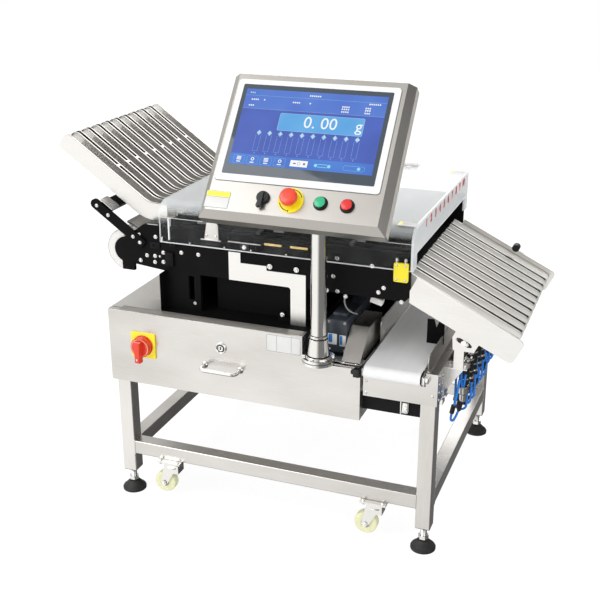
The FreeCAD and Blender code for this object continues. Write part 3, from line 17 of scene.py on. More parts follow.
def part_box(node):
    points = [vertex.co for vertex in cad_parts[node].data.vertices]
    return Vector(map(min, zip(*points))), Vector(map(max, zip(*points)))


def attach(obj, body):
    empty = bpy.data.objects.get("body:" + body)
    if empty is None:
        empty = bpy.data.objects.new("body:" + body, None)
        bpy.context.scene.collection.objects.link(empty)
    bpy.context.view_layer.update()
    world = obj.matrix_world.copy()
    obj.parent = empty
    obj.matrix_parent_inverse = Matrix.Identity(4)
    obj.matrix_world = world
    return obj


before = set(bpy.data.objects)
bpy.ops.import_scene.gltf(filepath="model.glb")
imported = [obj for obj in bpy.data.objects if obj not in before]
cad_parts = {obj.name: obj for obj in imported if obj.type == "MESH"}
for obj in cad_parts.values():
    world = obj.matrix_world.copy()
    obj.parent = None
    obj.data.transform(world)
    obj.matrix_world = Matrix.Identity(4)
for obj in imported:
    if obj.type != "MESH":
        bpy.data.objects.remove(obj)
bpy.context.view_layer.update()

LOG = logging.getLogger("checkweigher")
MM = 0.001
LANES = 10
CREASE = math.radians(34)
RIGHT, REAR, UP = (1, 0, 0), (0, 1, 0), (0, 0, 1)
LEFT, FRONT, DOWN = (-1, 0, 0), (0, -1, 0), (0, 0, -1)
Point = tuple[float, float, float]


def machine_origin() -> Vector:
    """Find the machine's own origin in the frame, from the base frame's legs.

    Returns:
        The floor point under the outer corner of the front left leg, in metres.
    """
    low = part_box("legs")[0]
    return Vector((low[0], low[1], 0.0))


TO_FRAME = Matrix.Translation(machine_origin()) @ Matrix.Scale(MM, 4)
PANEL_TILT = 38.3
ON_PANEL = Matrix.Translation((570.0, -41.0, 1082.0)) @ Matrix.Rotation(math.radians(90 - PANEL_TILT), 4, "X")
OUT_SLOPE = 26.0
ON_OUTFEED = Matrix.Translation((800.0, 0.0, 676.0)) @ Matrix.Rotation(math.radians(OUT_SLOPE), 4, "Y")
ARM_SLOPE = 35.6
ON_ARM = Matrix.Translation((42.0, 0.0, 749.5)) @ Matrix.Rotation(math.radians(ARM_SLOPE), 4, "Y")


def linear(colour: str) -> tuple[float, float, float, float]:
    """Turn an sRGB hex colour into linear light.

    Args:
        colour: Six hex digits after a hash sign.

    Returns:
        Red, green, blue and an alpha of 1.
    """
    parts = [int(colour[k:k + 2], 16) / 255 for k in (1, 3, 5)]
    light = [c / 12.92 if c <= 0.04045 else ((c + 0.055) / 1.055) ** 2.4 for c in parts]
    return (light[0], light[1], light[2], 1.0)


def add_node(tree: bpy.types.NodeTree, kind: str, settings: dict | None = None,
             values: dict | None = None, links: dict | None = None) -> bpy.types.Node:
    """Add one shader node with its settings, socket values and links.

    Args:
        tree: The node tree.
        kind: Blender's node type.
        settings: Properties of the node.
        values: Constant values by input socket.
        links: Output sockets by input socket.

    Returns:
        The new node.
    """
    node = tree.nodes.new(kind)
    for name, value in (settings or {}).items():
        setattr(node, name, value)
    for name, value in (values or {}).items():
        node.inputs[name].default_value = value
    for name, source in (links or {}).items():
        tree.links.new(source, node.inputs[name])
    return node


class Grain(Enum):
    """The direction in which a metal sheet was ground."""

    ALONG_X = (0.03, 1.0, 1.0)
    ALONG_Y = (1.0, 0.03, 1.0)
    ALONG_Z = (1.0, 1.0, 0.03)


def combine(tree: bpy.types.NodeTree, operation: str, *sources: bpy.types.NodeSocket) -> bpy.types.NodeSocket:
    """Add a math node.

    Args:
        tree: The node tree.
        operation: What the node does.
        sources: Its values.

    Returns:
        The result.
    """
    return add_node(tree, "ShaderNodeMath", {"operation": operation}, links=dict(enumerate(sources))).outputs[0]


def ramp(tree: bpy.types.NodeTree, source: bpy.types.NodeSocket, start: float, end: float, low: float,
         high: float) -> bpy.types.NodeSocket:
    """Map a value's range onto another one, level beyond both ends.

    Args:
        tree: The node tree.
        source: The value.
        start: Where its range starts.
        end: Where its range ends.
        low: The result at the start.
        high: The result at the end.

    Returns:
        The mapped value.
    """
    values = {"From Min": start, "From Max": end, "To Min": low, "To Max": high}
    return add_node(tree, "ShaderNodeMapRange", values=values, links={"Value": source}).outputs[0]


def mix_shaders(tree: bpy.types.NodeTree, share: bpy.types.NodeSocket, one: bpy.types.Node,
                two: bpy.types.Node) -> bpy.types.Node:
    """Mix two shaders; a share of 0 is the first one alone."""
    return add_node(tree, "ShaderNodeMixShader", links={0: share, 1: one.outputs[0], 2: two.outputs[0]})


class Skin:
    """A material under construction: its node tree and its Principled shader."""

    def __init__(self, material: bpy.types.Material) -> None:
        """Take the tree and the shader of a new material."""
        material.use_nodes = True
        self.tree = material.node_tree
        self.shader = self.tree.nodes["Principled BSDF"]

    def fill(self, values: dict) -> None:
        """Give inputs of the shader constant values."""
        for name, value in values.items():
            self.shader.inputs[name].default_value = value

    def drive(self, name: str, source: bpy.types.NodeSocket) -> None:
        """Link a value to an input of the shader."""
        self.tree.links.new(source, self.shader.inputs[name])

    def noise(self, size_mm: float, stretch: Point = (1, 1, 1), detail: float = 2.0) -> bpy.types.NodeSocket:
        """Add a noise whose cells have a real size.

        Args:
            size_mm: Width of a cell in millimetres.
            stretch: Scale of each axis; a small one draws the cells out along it.
            detail: How many finer octaves lie on it.

        Returns:
            The noise's value.
        """
        place = add_node(self.tree, "ShaderNodeTexCoord")
        scaled = add_node(self.tree, "ShaderNodeVectorMath", {"operation": "MULTIPLY"},
                          {1: stretch}, {0: place.outputs["Object"]})
        noise = add_node(self.tree, "ShaderNodeTexNoise", values={"Scale": 1 / (size_mm * MM), "Detail": detail},
                         links={"Vector": scaled.outputs[0]})
        return noise.outputs[0]

    def spread(self, noise: bpy.types.NodeSocket, low: float, high: float) -> bpy.types.NodeSocket:
        """Map the middle of a noise, where nearly all of it lies, onto a range."""
        return ramp(self.tree, noise, 0.3, 0.7, low, high)

    def gloss(self, noise: bpy.types.NodeSocket, roughness: float, less: float, more: float) -> None:
        """Let the roughness fall and rise by a noise.

        Args:
            noise: The noise's value.
            roughness: The finish's roughness.
            less: How far it falls at the noise's low end.
            more: How far it rises at the high end.
        """
        self.drive("Roughness", self.spread(noise, roughness - less, roughness + more))

    def tint(self, share: bpy.types.NodeSocket, one: str, other: str, name: str = "Base Color") -> None:
        """Blend two colours.

        Args:
            share: The blend factor, 0 to 1.
            one: The first colour in hex.
            other: The second colour in hex.
            name: The shader's input that takes the colour.
        """
        mix = add_node(self.tree, "ShaderNodeMix", {"data_type": "RGBA"},
                       {6: linear(one), 7: linear(other)}, {0: share})
        self.drive(name, mix.outputs[2])

    def bump(self, height: bpy.types.NodeSocket, height_mm: float) -> None:
        """Raise the surface.

        Args:
            height: The height, 0 to 1.
            height_mm: Height of a full step in millimetres.
        """
        node = add_node(self.tree, "ShaderNodeBump", values={"Strength": 1.0, "Distance": height_mm * MM},
                        links={"Height": height})
        self.drive("Normal", node.outputs[0])


@dataclass(frozen=True)
class Finish:
    """A surface finish; each subclass says how its real one is made."""

    name: str
    colour: str
    roughness: float = 0.5
    metallic: float = 0.0

    def shade(self, skin: Skin) -> None:
        """Add the finish's own pattern to a material."""

    def make(self) -> bpy.types.Material:
        """Build the material, once.

        Returns:
            The material of this finish.
        """
        found = bpy.data.materials.get("finish_" + self.name)
        if found:
            return found
        material = bpy.data.materials.new("finish_" + self.name)
        skin = Skin(material)
        skin.fill({"Base Color": linear(self.colour), "Roughness": self.roughness, "Metallic": self.metallic})
        self.shade(skin)
        return material


@dataclass(frozen=True)
class BrushedStainless(Finish):
    """Grade 304 sheet, ground along one direction: the fine lines blur reflections across the grain."""

    dark: str = "#9a9a9a"
    roughness: float = 0.3
    metallic: float = 1.0
    grain: Grain = Grain.ALONG_X
    line_mm: float = 1.3
    cloud_mm: float = 150.0
    relief_mm: float = 0.003

    def shade(self, skin: Skin) -> None:
        """Grind lines drawn coarse enough to show, under soft clouds drawn out along the grain."""
        lines = skin.noise(self.line_mm, self.grain.value, 4.0)
        clouds = skin.noise(self.cloud_mm, tuple(max(k, 0.4) for k in self.grain.value), 3.0)
        both = combine(skin.tree, "MULTIPLY", skin.spread(lines, 0.7, 1.0), skin.spread(clouds, 0.1, 1.0))
        skin.tint(both, self.colour, self.dark)
        skin.gloss(lines, self.roughness, 0.03, 0.04)
        skin.bump(lines, self.relief_mm)


@dataclass(frozen=True)
class PolishedStainless(Finish):
    """Bright stainless bar and tube, buffed: sharp reflections with faint buffing marks."""

    roughness: float = 0.12
    metallic: float = 1.0
    marks_mm: float = 14.0

    def shade(self, skin: Skin) -> None:
        """Faint buffing marks that only vary the gloss."""
        skin.gloss(skin.noise(self.marks_mm, detail=4.0), self.roughness, 0.03, 0.07)


@dataclass(frozen=True)
class BlackAnodised(Finish):
    """Black anodised aluminium plate: satin, with a faint milled cloud and paler rubbed edges."""

    roughness: float = 0.42
    rubbed: str = "#1a1a1b"
    sheen: float = 0.06
    cloud_mm: float = 60.0
    grit_mm: float = 1.6
    relief_mm: float = 0.01

    def shade(self, skin: Skin) -> None:
        """Soft clouds, and edges worn paler where the surface turns."""
        clouds = skin.noise(self.cloud_mm, detail=5.0)
        skin.fill({"Specular IOR Level": self.sheen})
        shape = add_node(skin.tree, "ShaderNodeNewGeometry")
        edge = ramp(skin.tree, shape.outputs["Pointiness"], 0.56, 0.72, 0.0, 0.7)
        skin.tint(combine(skin.tree, "MAXIMUM", edge, skin.spread(clouds, 0.0, 0.35)), self.colour, self.rubbed)
        grit = skin.noise(self.grit_mm)
        skin.gloss(grit, self.roughness, 0.08, 0.1)
        skin.bump(grit, self.relief_mm)


@dataclass(frozen=True)
class Moulded(Finish):
    """Injection moulded plastic: even colour with a fine spark-eroded skin."""

    skin_mm: float = 1.4
    depth_mm: float = 0.015
    coat: float = 0.0
    ior: float = 1.49

    def shade(self, skin: Skin) -> None:
        """A fine skin, drawn coarse enough to show, and a clear gloss where it has one."""
        grain = skin.noise(self.skin_mm)
        skin.fill({"IOR": self.ior, "Coat Weight": self.coat})
        skin.gloss(grain, self.roughness, 0.04, 0.08)
        skin.bump(grain, self.depth_mm)


@dataclass(frozen=True)
class Rubber(Finish):
    """Cast rubber: deep matt black that greys a little with dust on top."""

    roughness: float = 0.62
    dust: str = "#3c3b39"
    patch_mm: float = 22.0
    skin_mm: float = 1.2
    relief_mm: float = 0.03

    def shade(self, skin: Skin) -> None:
        """Dust settles in soft patches over a slightly rough skin."""
        skin.tint(skin.spread(skin.noise(self.patch_mm, detail=5.0), 0.0, 0.5), self.colour, self.dust)
        skin.bump(skin.noise(self.skin_mm), self.relief_mm)


@dataclass(frozen=True)
class BeltCloth(Finish):
    """Coated conveyor belt: the fabric's weave shows faintly through the smooth coat."""

    roughness: float = 0.48
    weave_mm: float = 2.0
    trace_mm: float = 26.0
    relief_mm: float = 0.02
    painted_glow: float = 0.0
    soiled: str = "#d8d8d4"

    def shade(self, skin: Skin) -> None:
        """Weave as fine crossed waves, long soft traces along the belt's run, and a painted glow that lights the belt
        by itself.
        """
        place = add_node(skin.tree, "ShaderNodeTexCoord")
        waves = [add_node(skin.tree, "ShaderNodeTexWave", {"bands_direction": way},
                          {"Scale": 0.32 / (self.weave_mm * MM)}, {"Vector": place.outputs["Object"]}).outputs["Fac"]
                 for way in ("X", "Y")]
        traces = skin.noise(self.trace_mm, Grain.ALONG_Y.value, 3.0)
        # painted light: the belt gives off its own colour as light
        skin.fill({"Emission Color": linear(self.colour), "Emission Strength": self.painted_glow})
        skin.tint(skin.spread(traces, 0.0, 0.6), self.colour, self.soiled)
        skin.bump(combine(skin.tree, "MULTIPLY", *waves), self.relief_mm)


@dataclass(frozen=True)
class ClearSheet(Finish):
    """Clear PET-G sheet: a faint veil from wiping, and a painted reflection that whitens what lies level."""

    roughness: float = 0.06
    veil: tuple = (0.004, 0.022)
    top_reflection: float = 0.42
    streak_mm: float = 60.0

    def shade(self, skin: Skin) -> None:
        """The veil is denser in wiped streaks; faces that lie level turn white and opaque as a painted reflection; the
        rest lets everything through.
        """
        haze = skin.noise(self.streak_mm, (1.0, 0.25, 1.0), 3.0)
        shape = add_node(skin.tree, "ShaderNodeNewGeometry")
        split = add_node(skin.tree, "ShaderNodeSeparateXYZ", links={0: shape.outputs["Normal"]})
        # painted reflection, not dust: level faces, seen at a grazing angle, turn white and more opaque
        dust = ramp(skin.tree, combine(skin.tree, "ABSOLUTE", split.outputs["Z"]), 0.25, 0.9, 0.0, self.top_reflection)
        skin.drive("Alpha", combine(skin.tree, "ADD", dust, skin.spread(haze, *self.veil)))


@dataclass(frozen=True)
class Glow(Finish):
    """A lit field of the display: colour that shines by itself, with a soft second tone."""

    strength: float = 0.92
    second: str = "#ffffff"
    cloud_mm: float = 90.0

    def shade(self, skin: Skin) -> None:
        """The colour is given off as light; the surface under it is dark."""
        clouds = skin.spread(skin.noise(self.cloud_mm, detail=1.0), 0.0, 1.0)
        skin.tint(clouds, self.colour, self.second, "Emission Color")
        skin.fill({"Base Color": (0.01, 0.01, 0.01, 1.0), "Emission Strength": self.strength})


@dataclass(frozen=True)
class Plated(Finish):
    """Bright plated brass fitting: warm or white metal with small handling marks."""

    roughness: float = 0.24
    metallic: float = 1.0
    worn: str = "#a8883c"
    patch_mm: float = 5.0

    def shade(self, skin: Skin) -> None:
        """Small duller patches where the plating is touched."""
        skin.tint(skin.spread(skin.noise(self.patch_mm, detail=4.0), 0.0, 0.5), self.colour, self.worn)


@dataclass(frozen=True)
class Vinyl(Finish):
    """Printed vinyl or a blank label plate: matt, even, a little soiled."""

    soiled: str = "#c9c9c6"
    patch_mm: float = 18.0
    coat: float = 0.2

    def shade(self, skin: Skin) -> None:
        """Faint soiling in soft patches."""
        skin.tint(skin.spread(skin.noise(self.patch_mm, detail=4.0), 0.0, 0.25), self.colour, self.soiled)
        skin.fill({"Coat Weight": self.coat})


SHEET = BrushedStainless("sheet_along_x", "#e6e4e1", dark="#cac7c3")
SHEET_Y = BrushedStainless("sheet_along_y", "#e2e0dd", dark="#c8c5c1", grain=Grain.ALONG_Y)
SHEET_Z = BrushedStainless("sheet_along_z", "#eae8e5", dark="#d2cfcb", grain=Grain.ALONG_Z)
PALE_STEEL = BrushedStainless("pale_steel", "#f4f3f1", dark="#e8e6e3")
# painted reflection: a near-white, nearly matt copy of the channel sheet stands in for the outfeed's bright reflection
CHANNEL_REFLECTION = BrushedStainless("channel_painted_reflection", "#f6f5f2", dark="#e8e6e2", roughness=0.4, line_mm=7.0,
                                 relief_mm=0.0, metallic=0.12)
# painted light: a pale, non-metallic copy of the chute steel makes the infeed's shaded upper ends look lit
LIT_LIP = BrushedStainless("painted_light_lip", "#eeece6", dark="#dedbd4", roughness=0.5, metallic=0.0)
HOUSING = BrushedStainless("panel_housing", "#bfbcb7", dark="#b2afaa", roughness=0.34)
CHANNEL = BrushedStainless("channel_sheet", "#f2f1ef", dark="#e2e0dd", roughness=0.3, line_mm=60.0,
                           relief_mm=0.0)
# painted shading: a separately toned copy of the housing's steel for its right side
SIDE_SHADING = BrushedStainless("painted_side_shading", "#d2cec7", dark="#c4c0b9", grain=Grain.ALONG_Z, metallic=0.3)
# painted shade: a darker, part-matt copy of the sheet along the cabinet top's front
TOP_SHADE = BrushedStainless("painted_top_shade", "#a19d97", dark="#85817b", metallic=0.25)
BRIGHT = PolishedStainless("bright_bar", "#e6e5e2")
RIM = PolishedStainless("wall_rims", "#e6e4e0", roughness=0.34)
BOLT = PolishedStainless("bolt_heads", "#f4f3f1", roughness=0.22)
BLACK_PLATE = BlackAnodised("black_plate", "#0e0e0f")
# painted shade: black sheets laid where gaps and the machine's inside lie in deep shade
SHADE_BLACK = BlackAnodised("painted_shade_black", "#0b0b0b", roughness=0.6, rubbed="#161616")
BLACK_BAR = BlackAnodised("black_bar", "#101011", roughness=0.5, sheen=0.12)
# Black moulded plastic, also used for rings and slots of painted shade
BLACK_MOULDED_AND_SHADE = Moulded("black_moulded_and_shade", "#141415", roughness=0.38)
BLACK_RUBBER = Rubber("black_rubber", "#131313")
LANE_BELT = BeltCloth("lane_belt", "#1d1d1e", soiled="#2c2c2d")
# painted light: a faint glow brightens the white belt
WHITE_BELT = BeltCloth("white_belt", "#dedede", soiled="#d2d3d4", painted_glow=0.09)
NYLON = Moulded("nylon", "#e6e6bc", roughness=0.45)
YELLOW = Moulded("yellow_moulded", "#f2e01e", roughness=0.3, coat=0.3)
ORANGE_RED = Moulded("orange_red_moulded", "#dc3a20", roughness=0.28, coat=0.4)
# painted highlight: a pale copy of the knob's orange-red for the light caught along its rim
ORANGE_HIGHLIGHT = Moulded("painted_highlight_orange", "#f0967c", roughness=0.3)
RED = Moulded("red_moulded", "#d01c18", roughness=0.25, coat=0.4)
GREEN = Moulded("green_moulded", "#1ea877", roughness=0.25, coat=0.4)
PALE_FRAME = Moulded("pale_frame", "#e0e0e0", roughness=0.35)
GREY_ENAMEL = Moulded("grey_enamel", "#363c44", roughness=0.35, coat=0.2)
PALE_SHEET = Moulded("pale_sheet", "#dedcd9", roughness=0.35)
GREY_PLASTIC = Moulded("grey_plastic", "#8f8f8c", roughness=0.4)
DARK_GLASS = Moulded("display_glass", "#3a444f", roughness=0.08, skin_mm=30.0, depth_mm=0.0)
BLUE_TUBE = Moulded("blue_tube", "#1f77d0", roughness=0.22, coat=0.3)
BRASS = Plated("brass", "#e8cf92")
NICKEL = Plated("nickel", "#dcdad5", worn="#b4b1aa")
LABEL = Vinyl("blank_label", "#d4d4d2")
LABEL_LINE = Vinyl("label_line", "#5b5f66", soiled="#70747a")
RED_INK = Vinyl("red_ink", "#cf2a30", soiled="#b8242a")
# Black print, also used as painted shade in the lock's keyway and recess
BLACK_INK_AND_SHADE = Vinyl("black_ink_and_shade", "#1c1b16", soiled="#2a2922")
BLUE_LABEL = Vinyl("blue_label", "#2470b8", soiled="#2c66a0")
CLEAR = ClearSheet("clear_sheet", "#eef2f3")
CLOUDED = ClearSheet("clouded_sheet", "#eceff0", roughness=0.2, veil=(0.66, 0.82), top_reflection=0.1)
MILKY = ClearSheet("milky_guard", "#eceae6", roughness=0.25, veil=(0.45, 0.6), top_reflection=0.2)
# painted highlight: matt white pieces along the clear sheet's edges and bends
EDGE_HIGHLIGHT = Vinyl("painted_edge_highlight", "#fafcfc", roughness=0.15, soiled="#e4e8e8")
PICTURE = Glow("picture", "#2c4cae", second="#3a5cc0")
HEADER = Glow("picture_header", "#3b68cc", second="#4a7ad4")
TOOLBAR = Glow("toolbar", "#2b66c8", second="#3a7cd8")
VALUE_BOX = Glow("value_box", "#4a9fe2", second="#5cb0ea")
PALE_LINE = Glow("pale_line", "#8fc4ec", second="#a6d0f0")
WHITE_LIGHT = Glow("white_light", "#f6faff", second="#ffffff")
CYAN_LIGHT = Glow("cyan_light", "#74dcf4", second="#8ee4f8")

NODE_FINISH: dict[str, Finish] = {
    "legs": SHEET_Z, "lower_rails": SHEET, "upper_rails": SHEET, "foot_discs": BLACK_RUBBER,
    "foot_studs": BRIGHT, "caster_plates": BRIGHT, "cabinet_shell": SHEET_Y, "drawer_front": SHEET,
    "drawer_tray": SHEET, "drawer_handle": BRIGHT, "drawer_lock": BRIGHT, "isolator_plate": YELLOW,
    "isolator_handle": ORANGE_RED, "hmi_post": BRIGHT, "hmi_housing": HOUSING, "hmi_screen": PALE_FRAME,
    "button_bezels": BLACK_MOULDED_AND_SHADE, "green_button": GREEN, "red_button": RED, "key_switch": BLACK_MOULDED_AND_SHADE,
    "estop_collar": YELLOW, "estop_button": ORANGE_RED, "side_plates": BLACK_PLATE, "bridge_plates": PALE_STEEL,
    "weigh_base": BLACK_PLATE, "lane_belts": LANE_BELT, "lane_guides": BLACK_PLATE, "end_guard": MILKY,
    "sensor_arms": BLACK_PLATE, "sensor_bar": BLACK_PLATE, "infeed_chute": CHANNEL, "infeed_carrier": SHEET_Y,
    "outfeed_chute": CHANNEL_REFLECTION, "outfeed_sides": PALE_STEEL, "cover_lid": CLEAR, "cover_end": CLOUDED,
    "cover_back": CLEAR, "lid_hinges": PALE_SHEET, "back_hinges": PALE_SHEET,
    "reject_belt": WHITE_BELT, "reject_rollers": BLACK_RUBBER, "reject_frame": SHEET_Y,
    "belt_guides": SHEET_Y, "motor_hood": SHEET_Z, "reject_motor": GREY_ENAMEL, "apron": SHEET,
    "drive_bar": BLACK_BAR, "chute_brackets": PALE_STEEL, "valve_bar": BLACK_MOULDED_AND_SHADE,
    "air_tubes": BLUE_TUBE, "chute_knobs": BOLT,
}
CORNERS = {"fl": (150.0, 20.0), "fr": (740.0, 20.0), "bl": (150.0, 700.0), "br": (740.0, 700.0)}
for corner in CORNERS:
    NODE_FINISH["caster_fork_" + corner] = BRIGHT
    NODE_FINISH["caster_wheel_" + corner] = NYLON


def dress_nodes() -> None:
    """Give every CAD node its finish."""
    for name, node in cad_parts.items():
        finish = NODE_FINISH.get(name, SHEET)
        for place in node.material_slots:
            place.material = finish.make()


def rounded(points: list, radius: float, steps: int = 6) -> list:
    """Round the inner corners of a path.

    Args:
        points: The corners, first and last ones being the ends.
        radius: How far from a corner its bend starts, at most.
        steps: Points a bend.

    Returns:
        The path with its bends.
    """
    corners = [Vector(p) for p in points]
    path = [corners[0]]
    for before, corner, after in zip(corners, corners[1:], corners[2:]):
        one = before - corner
        two = after - corner
        start = corner + one.normalized() * min(radius, one.length / 2)
        end = corner + two.normalized() * min(radius, two.length / 2)
        for k in range(steps + 1):
            t = k / steps
            path.append(start * (1 - t) ** 2 + corner * 2 * t * (1 - t) + end * t ** 2)
    path.append(corners[-1])
    return path


def rounded_box(x0: float, x1: float, y0: float, y1: float, radius: float, steps: int = 5) -> list:
    """The outline of a rectangle with round corners.

    Args:
        x0: Left side.
        x1: Right side.
        y0: Lower side.
        y1: Upper side.
        radius: Corner radius.
        steps: Points a corner.

    Returns:
        The outline's points.
    """
    outline = []
    for x, y, start in ((x1 - radius, y1 - radius, 0), (x0 + radius, y1 - radius, 90),
                        (x0 + radius, y0 + radius, 180), (x1 - radius, y0 + radius, 270)):
        for k in range(steps + 1):
            a = math.radians(start + 90 * k / steps)
            outline.append((x + radius * math.cos(a), y + radius * math.sin(a)))
    return outline


class Shape:
    """A mesh under construction, in the machine's millimetres."""

    def __init__(self, place: Matrix | None = None) -> None:
        """Start empty; place turns the drawing into the machine's axes."""
        self.mesh = bmesh.new()
        self.place = place or Matrix.Identity(4)

    def block(self, low: Point, high: Point, edge: float = 0.0, turn: Matrix | None = None) -> "Shape":
        """Add a block with rounded edges.

        Args:
            low: Its lowest corner.
            high: Its highest corner.
            edge: Radius of its edges.
            turn: A placement for this block alone.

        Returns:
            The shape itself.
        """
        size = Vector(high) - Vector(low)
        middle = (Vector(high) + Vector(low)) / 2
        matrix = (turn or Matrix.Identity(4)) @ Matrix.Translation(middle) @ Matrix.Diagonal((*size, 1.0))
        verts = bmesh.ops.create_cube(self.mesh, size=1.0, matrix=matrix)["verts"]
        self.soften({e for v in verts for e in v.link_edges}, edge)
        return self

    def prism(self, points: list, axis: str, low: float, high: float, edge: float = 0.0,
              turn: Matrix | None = None) -> "Shape":
        """Add a plate with a drawn outline.

        Args:
            points: The outline, in the two axes that the plate's own axis leaves.
            axis: X, Y or Z, square to the outline.
            low: Where the plate starts along its axis.
            high: Where it ends.
            edge: Radius of both rims.
            turn: A placement for this plate alone.

        Returns:
            The shape itself.
        """
        turn = turn or Matrix.Identity(4)
        order = {"X": (2, 0, 1), "Y": (0, 2, 1), "Z": (0, 1, 2)}[axis]
        rims = []
        for level in (low, high):
            rim = []
            for point in points:
                three = (point[0], point[1], level)
                rim.append(self.mesh.verts.new(turn @ Vector([three[k] for k in order])))
            rims.append(rim)
        caps = [self.mesh.faces.new(rim) for rim in rims]
        self.join(rims[0], rims[1])
        self.soften({e for cap in caps for e in cap.edges}, edge)
        return self

    def soften(self, edges: set, radius: float) -> None:
        """Round some edges, if the radius is more than none."""
        if radius > 0:
            bmesh.ops.bevel(self.mesh, geom=list(edges), offset=radius, segments=2, affect="EDGES", profile=0.5)

    def join(self, one: list, two: list) -> None:
        """Close the band between two rings, or between a ring and a point."""
        count = max(len(one), len(two))
        for k in range(count):
            n = (k + 1) % count
            corners = [one[k % len(one)], one[n % len(one)], two[n % len(two)], two[k % len(two)]]
            self.mesh.faces.new(list(dict.fromkeys(corners)))

    def lathe(self, at: Point, way: Point, profile: list, sides: int = 24) -> "Shape":
        """Turn a profile round an axis.

        Args:
            at: The axis's start.
            way: Its direction.
            profile: Radius and distance along the axis, point by point.
            sides: Facets round the axis.

        Returns:
            The shape itself.
        """
        turn = Matrix.Translation(at) @ Vector(way).to_track_quat("Z", "Y").to_matrix().to_4x4()
        rings = []
        for radius, along in profile:
            angles = [2 * math.pi * (k + 0.5) / sides for k in range(sides)] if radius > 0 else [0.0]
            rings.append([self.mesh.verts.new(turn @ Vector((radius * math.cos(a), radius * math.sin(a), along)))
                          for a in angles])
        for one, two in zip(rings, rings[1:]):
            self.join(one, two)
        return self

    def rod(self, start: Point, end: Point, radius: float, edge: float = 0.3, sides: int = 24) -> "Shape":
        """Add a round bar with broken edges between two points."""
        way = Vector(end) - Vector(start)
        length = way.length
        profile = [(0, 0), (radius - edge, 0), (radius, edge), (radius, length - edge), (radius - edge, length),
                   (0, length)]
        return self.lathe(start, way, profile, sides)

    def pipe(self, path: list, radius: float, sides: int = 10) -> "Shape":
        """Sweep a circle along a path.

        Args:
            path: Points close enough together for a smooth bend.
            radius: The circle's radius.
            sides: Facets round it.

        Returns:
            The shape itself.
        """
        points = [Vector(p) for p in path]
        tangents = [(points[min(k + 1, len(points) - 1)] - points[max(k - 1, 0)]).normalized()
                    for k in range(len(points))]
        normal = tangents[0].orthogonal().normalized()
        rings = [[self.mesh.verts.new(points[0])]]
        for point, tangent in zip(points, tangents):
            normal = (normal - tangent * normal.dot(tangent)).normalized()
            side = tangent.cross(normal)
            rings.append([self.mesh.verts.new(point + (normal * math.cos(a) + side * math.sin(a)) * radius)
                          for a in [2 * math.pi * k / sides for k in range(sides)]])
        rings.append([self.mesh.verts.new(points[-1])])
        for one, two in zip(rings, rings[1:]):
            self.join(one, two)
        return self

    def ring(self, at: Point, way: Point, outer: float, inner: float, height: float, edge: float = 0.4,
             sides: int = 36) -> "Shape":
        """Add a washer-like ring that stands on a face."""
        profile = [(inner, 0), (outer, 0), (outer, height - edge), (outer - edge, height), (inner + edge, height),
                   (inner, height - edge), (inner, 0)]
        return self.lathe(at, way, profile, sides)

    def cap_screw(self, at: Point, way: Point, radius: float = 4.2) -> "Shape":
        """Add a socket head screw on its washer.

        Args:
            at: Where it stands on the face.
            way: Out of the face.
            radius: Radius of its head.

        Returns:
            The shape itself.
        """
        r = radius
        washer = [(0, 0.0), (r * 1.35, 0.0), (r * 1.35, r * 0.2), (r, r * 0.25)]
        head = [(r, r * 0.8), (r * 0.86, r), (r * 0.52, r), (r * 0.48, r * 0.45), (0, r * 0.4)]
        return self.lathe(at, way, washer + head, 20)

    def dome_screw(self, at: Point, way: Point, radius: float = 4.0) -> "Shape":
        """Add a domed screw head with a small socket."""
        r = radius
        profile = [(0, 0), (r, 0), (r, r * 0.15), (r * 0.85, r * 0.4), (r * 0.55, r * 0.58), (r * 0.34, r * 0.6),
                   (r * 0.3, r * 0.3), (0, r * 0.28)]
        return self.lathe(at, way, profile, 18)

    def hex_nut(self, at: Point, way: Point, width: float, height: float) -> "Shape":
        """Add a hexagon nut or head with turned corners."""
        r = width / math.sqrt(3)
        return self.lathe(at, way, [(0, 0), (r * 0.93, 0), (r, height * 0.15), (r, height * 0.85),
                                    (r * 0.93, height), (0, height)], 6)

    def words(self, text: str, size: float, turn: Matrix, depth: float = 0.15, weight: float = 0.0) -> "Shape":
        """Add upright numbers or letters, centred on a placement's own origin.

        Args:
            text: What they say.
            size: Their height in millimetres, about.
            turn: The placement; they read along its X with its Z towards the reader.
            depth: How far they stand out.
            weight: How much thicker their strokes are than the font's.

        Returns:
            The shape itself.
        """
        curve = bpy.data.curves.new("words", "FONT")
        curve.body = text
        curve.size = size
        curve.extrude = depth
        curve.offset = weight
        curve.resolution_u = 3
        curve.align_x = "CENTER"
        curve.align_y = "CENTER"
        thing = bpy.data.objects.new("words", curve)
        data = bpy.data.meshes.new_from_object(thing)
        data.transform(turn)
        self.mesh.from_mesh(data)
        bpy.data.objects.remove(thing)
        bpy.data.meshes.remove(data)
        return self

    def thing(self, name: str) -> bpy.types.Object:
        """Turn the mesh into an object in the frame's metres.

        Args:
            name: The object's name.

        Returns:
            The new object.
        """
        self.mesh.transform(TO_FRAME @ self.place)
        bmesh.ops.recalc_face_normals(self.mesh, faces=self.mesh.faces)
        for face in self.mesh.faces:
            face.smooth = True
        for edge in self.mesh.edges:
            if len(edge.link_faces) == 2 and edge.calc_face_angle(0.0) > CREASE:
                edge.smooth = False
        data = bpy.data.meshes.new(name)
        self.mesh.to_mesh(data)
        self.mesh.free()
        thing = bpy.data.objects.new(name, data)
        bpy.context.scene.collection.objects.link(thing)
        return thing


@dataclass
class Assembly:
    """A part of the machine whose pieces ride on one body."""

    body: str = "machine"

    def add(self, shape: Shape, name: str, finish: Finish, slot: str, body: str | None = None) -> None:
        """Finish a drawn shape as a piece of the machine.

        Args:
            shape: The drawn shape.
            name: The piece's name.
            finish: Its surface.
            slot: The material slot that it belongs to; not used.
            body: The CAD body it rides on, if not the assembly's own.
        """
        thing = shape.thing(name)
        thing.data.materials.append(finish.make())
        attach(thing, body or self.body)
        LOG.info("piece %s", name)


